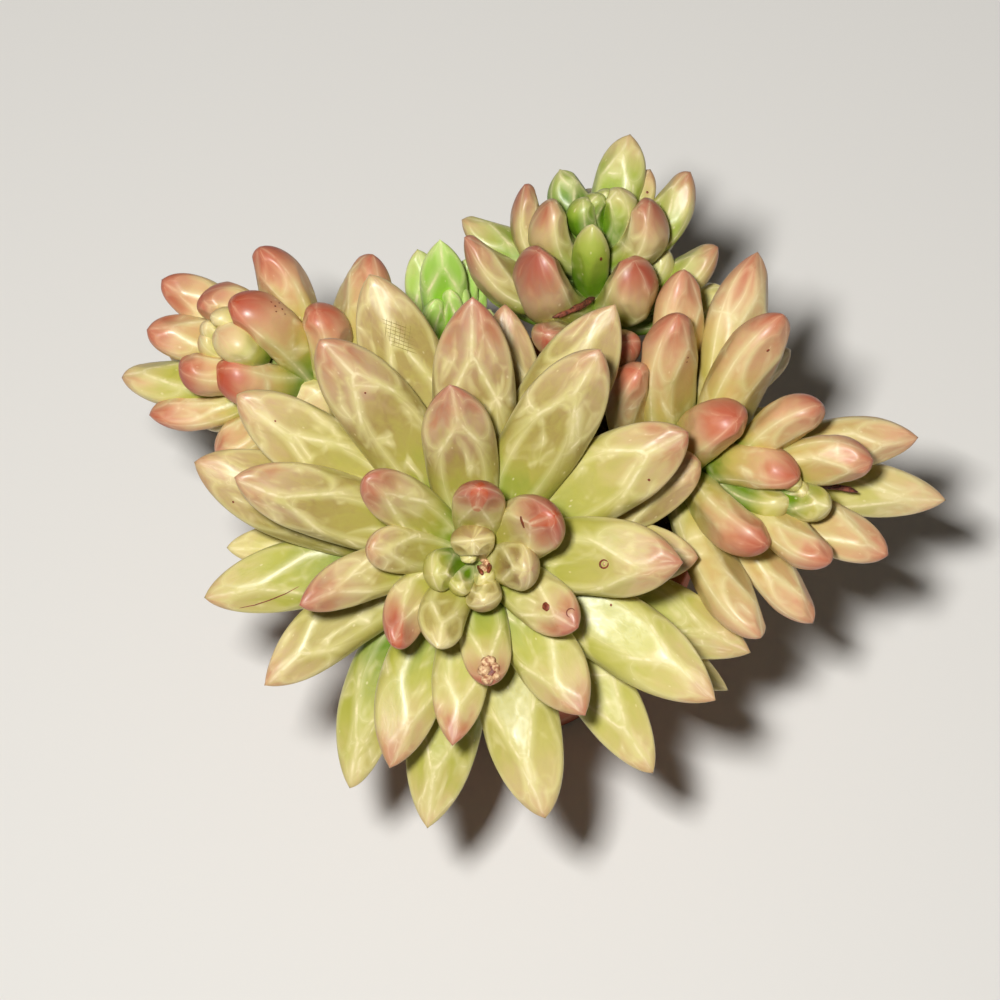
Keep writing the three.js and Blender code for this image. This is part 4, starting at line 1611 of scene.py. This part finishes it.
def marks() -> list[Marks]:
    """The scars, specks and scratches, each at its place to the right and up as seen.

    Returns:
        The marks, ready to build.
    """
    scab = DryFinish("dry_scab", dark="#9A6240", light="#EBC898")
    hurt = DryFinish("hurt_tissue", dark="#5E2414", light="#94482C", roughness=0.5)
    scratch = DryFinish("scratched_wax", dark="#80702C", light="#A08C4C", roughness=0.5)
    crack = ((-52.0, -21.6), (-49.0, -21.0), (-46.0, -20.0), (-43.0, -18.8), (-40.4, -17.4))
    return [
        Marks("main_rosette_scabs", "main_rosette", Slot.MAIN, scab, (
            dash(-3.7, -32.7, -1.0, -31.9, 1.2, 0.8), dash(-1.5, -32.6, -0.2, -34.2, 0.8, 0.6),
            dash(-4.3, -34.4, -2.0, -33.6, 1.2, 0.85), dash(-1.3, -34.9, -0.3, -35.8, 0.7, 0.6),
            dash(-3.6, -36.0, -1.4, -35.8, 1.0, 0.7), dash(20.6, -12.8, 21.0, -12.8, 0.4, 0.2),
            dash(-3.6, -11.9, -2.2, -12.9, 0.9, 0.8), dash(-3.9, -13.2, -2.6, -14.2, 0.8, 0.7),
        )),
        Marks("main_rosette_hurts", "main_rosette", Slot.MAIN, hurt, (
            dash(-3.2, -33.4, -1.2, -34.8, 1.6, 0.22), dash(4.1, -3.3, 4.8, -5.6, 0.42, 0.14),
            dash(8.8, -20.6, 9.6, -22.1, 0.85, 0.26), Stroke(round_line(14.2, -22.6, 0.9, 0.6), 0.14, 0.1),
            Stroke(round_line(20.8, -12.8, 0.85), 0.22, 0.14), dash(22.0, -21.0, 22.4, -21.0, 0.3, 0.1),
            dash(-27.1, 21.3, -26.8, 21.5, 0.24, 0.08), dash(-45.1, 15.7, -44.8, 15.9, 0.24, 0.08),
            dash(-53.5, -0.5, -53.2, -0.3, 0.26, 0.08), dash(29.6, 4.2, 30.0, 3.8, 0.28, 0.06),
            Stroke(crack, 0.13, 0.1),
            dash(-2.1, -12.6, -2.3, -14.6, 0.5, 0.7), dash(-4.4, -13.2, -3.4, -15.0, 0.45, 0.6),
        )),
        Marks("main_rosette_scratches", "main_rosette", Slot.MAIN, scratch, (*(
            dash(-23.6 + 0.3 * row, 36.2 - 0.85 * row, -17.9 + 0.2 * row, 34.1 - 0.8 * row, 0.07, 0.03)
            for row in range(7)
        ), *(
            dash(-22.6 + 0.95 * row, 36.4 - 0.3 * row, -23.0 + 0.9 * row, 32.4 - 0.6 * row, 0.06, 0.03)
            for row in range(6)
        ))),
        Marks("left_rosette_specks", "left_rosette", Slot.LEFT, hurt, (
            dash(-45.9, 39.6, -45.6, 39.6, 0.18, 0.07), dash(-45.1, 38.8, -44.8, 38.8, 0.2, 0.07),
            dash(-44.3, 39.4, -44.0, 39.4, 0.16, 0.07), dash(-43.7, 38.2, -43.4, 38.2, 0.2, 0.07),
            dash(-44.9, 37.7, -44.6, 37.7, 0.15, 0.07), dash(-43.1, 37.2, -42.9, 37.2, 0.15, 0.07),
        )),
        Marks("top_rosette_specks", "top_rosette", Slot.TOP, hurt, (
            dash(20.1, 48.5, 20.3, 47.9, 0.3, 0.1), dash(29.2, 61.6, 29.7, 61.5, 0.25, 0.1),
        )),
        Marks("right_rosette_specks", "right_rosette", Slot.RIGHT, hurt, (
            dash(53.3, 29.7, 53.9, 30.1, 0.32, 0.1), dash(37.5, 28.5, 37.7, 28.4, 0.18, 0.07),
            dash(37.3, 27.6, 37.5, 27.6, 0.16, 0.07),
        )),
    ]


def main() -> None:
    """Builds the plant, its pot and the studio in order."""
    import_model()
    VIEW.add_camera()
    Studio().build()
    Pot().build()
    plants = rosettes()
    Soil().build([(*plant.root, plant.stem[1]) for plant in plants])
    surfaces = {plant.node: plant.build() for plant in plants}
    for group in marks():
        group.build(surfaces[group.node])
    DryTwig("dry_twig_top", 0.8, ((19.5, 41.5, -33), (16.5, 39, -22), (10.5, 36.5, -17.5))).build()
    DryTwig("dry_twig_right", 0.9, ((52, 4.5, -22.5), (63, 3.4, -26.5), (71.5, 1.6, -29))).build()
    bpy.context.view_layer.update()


if __name__ == "__main__":
    main()
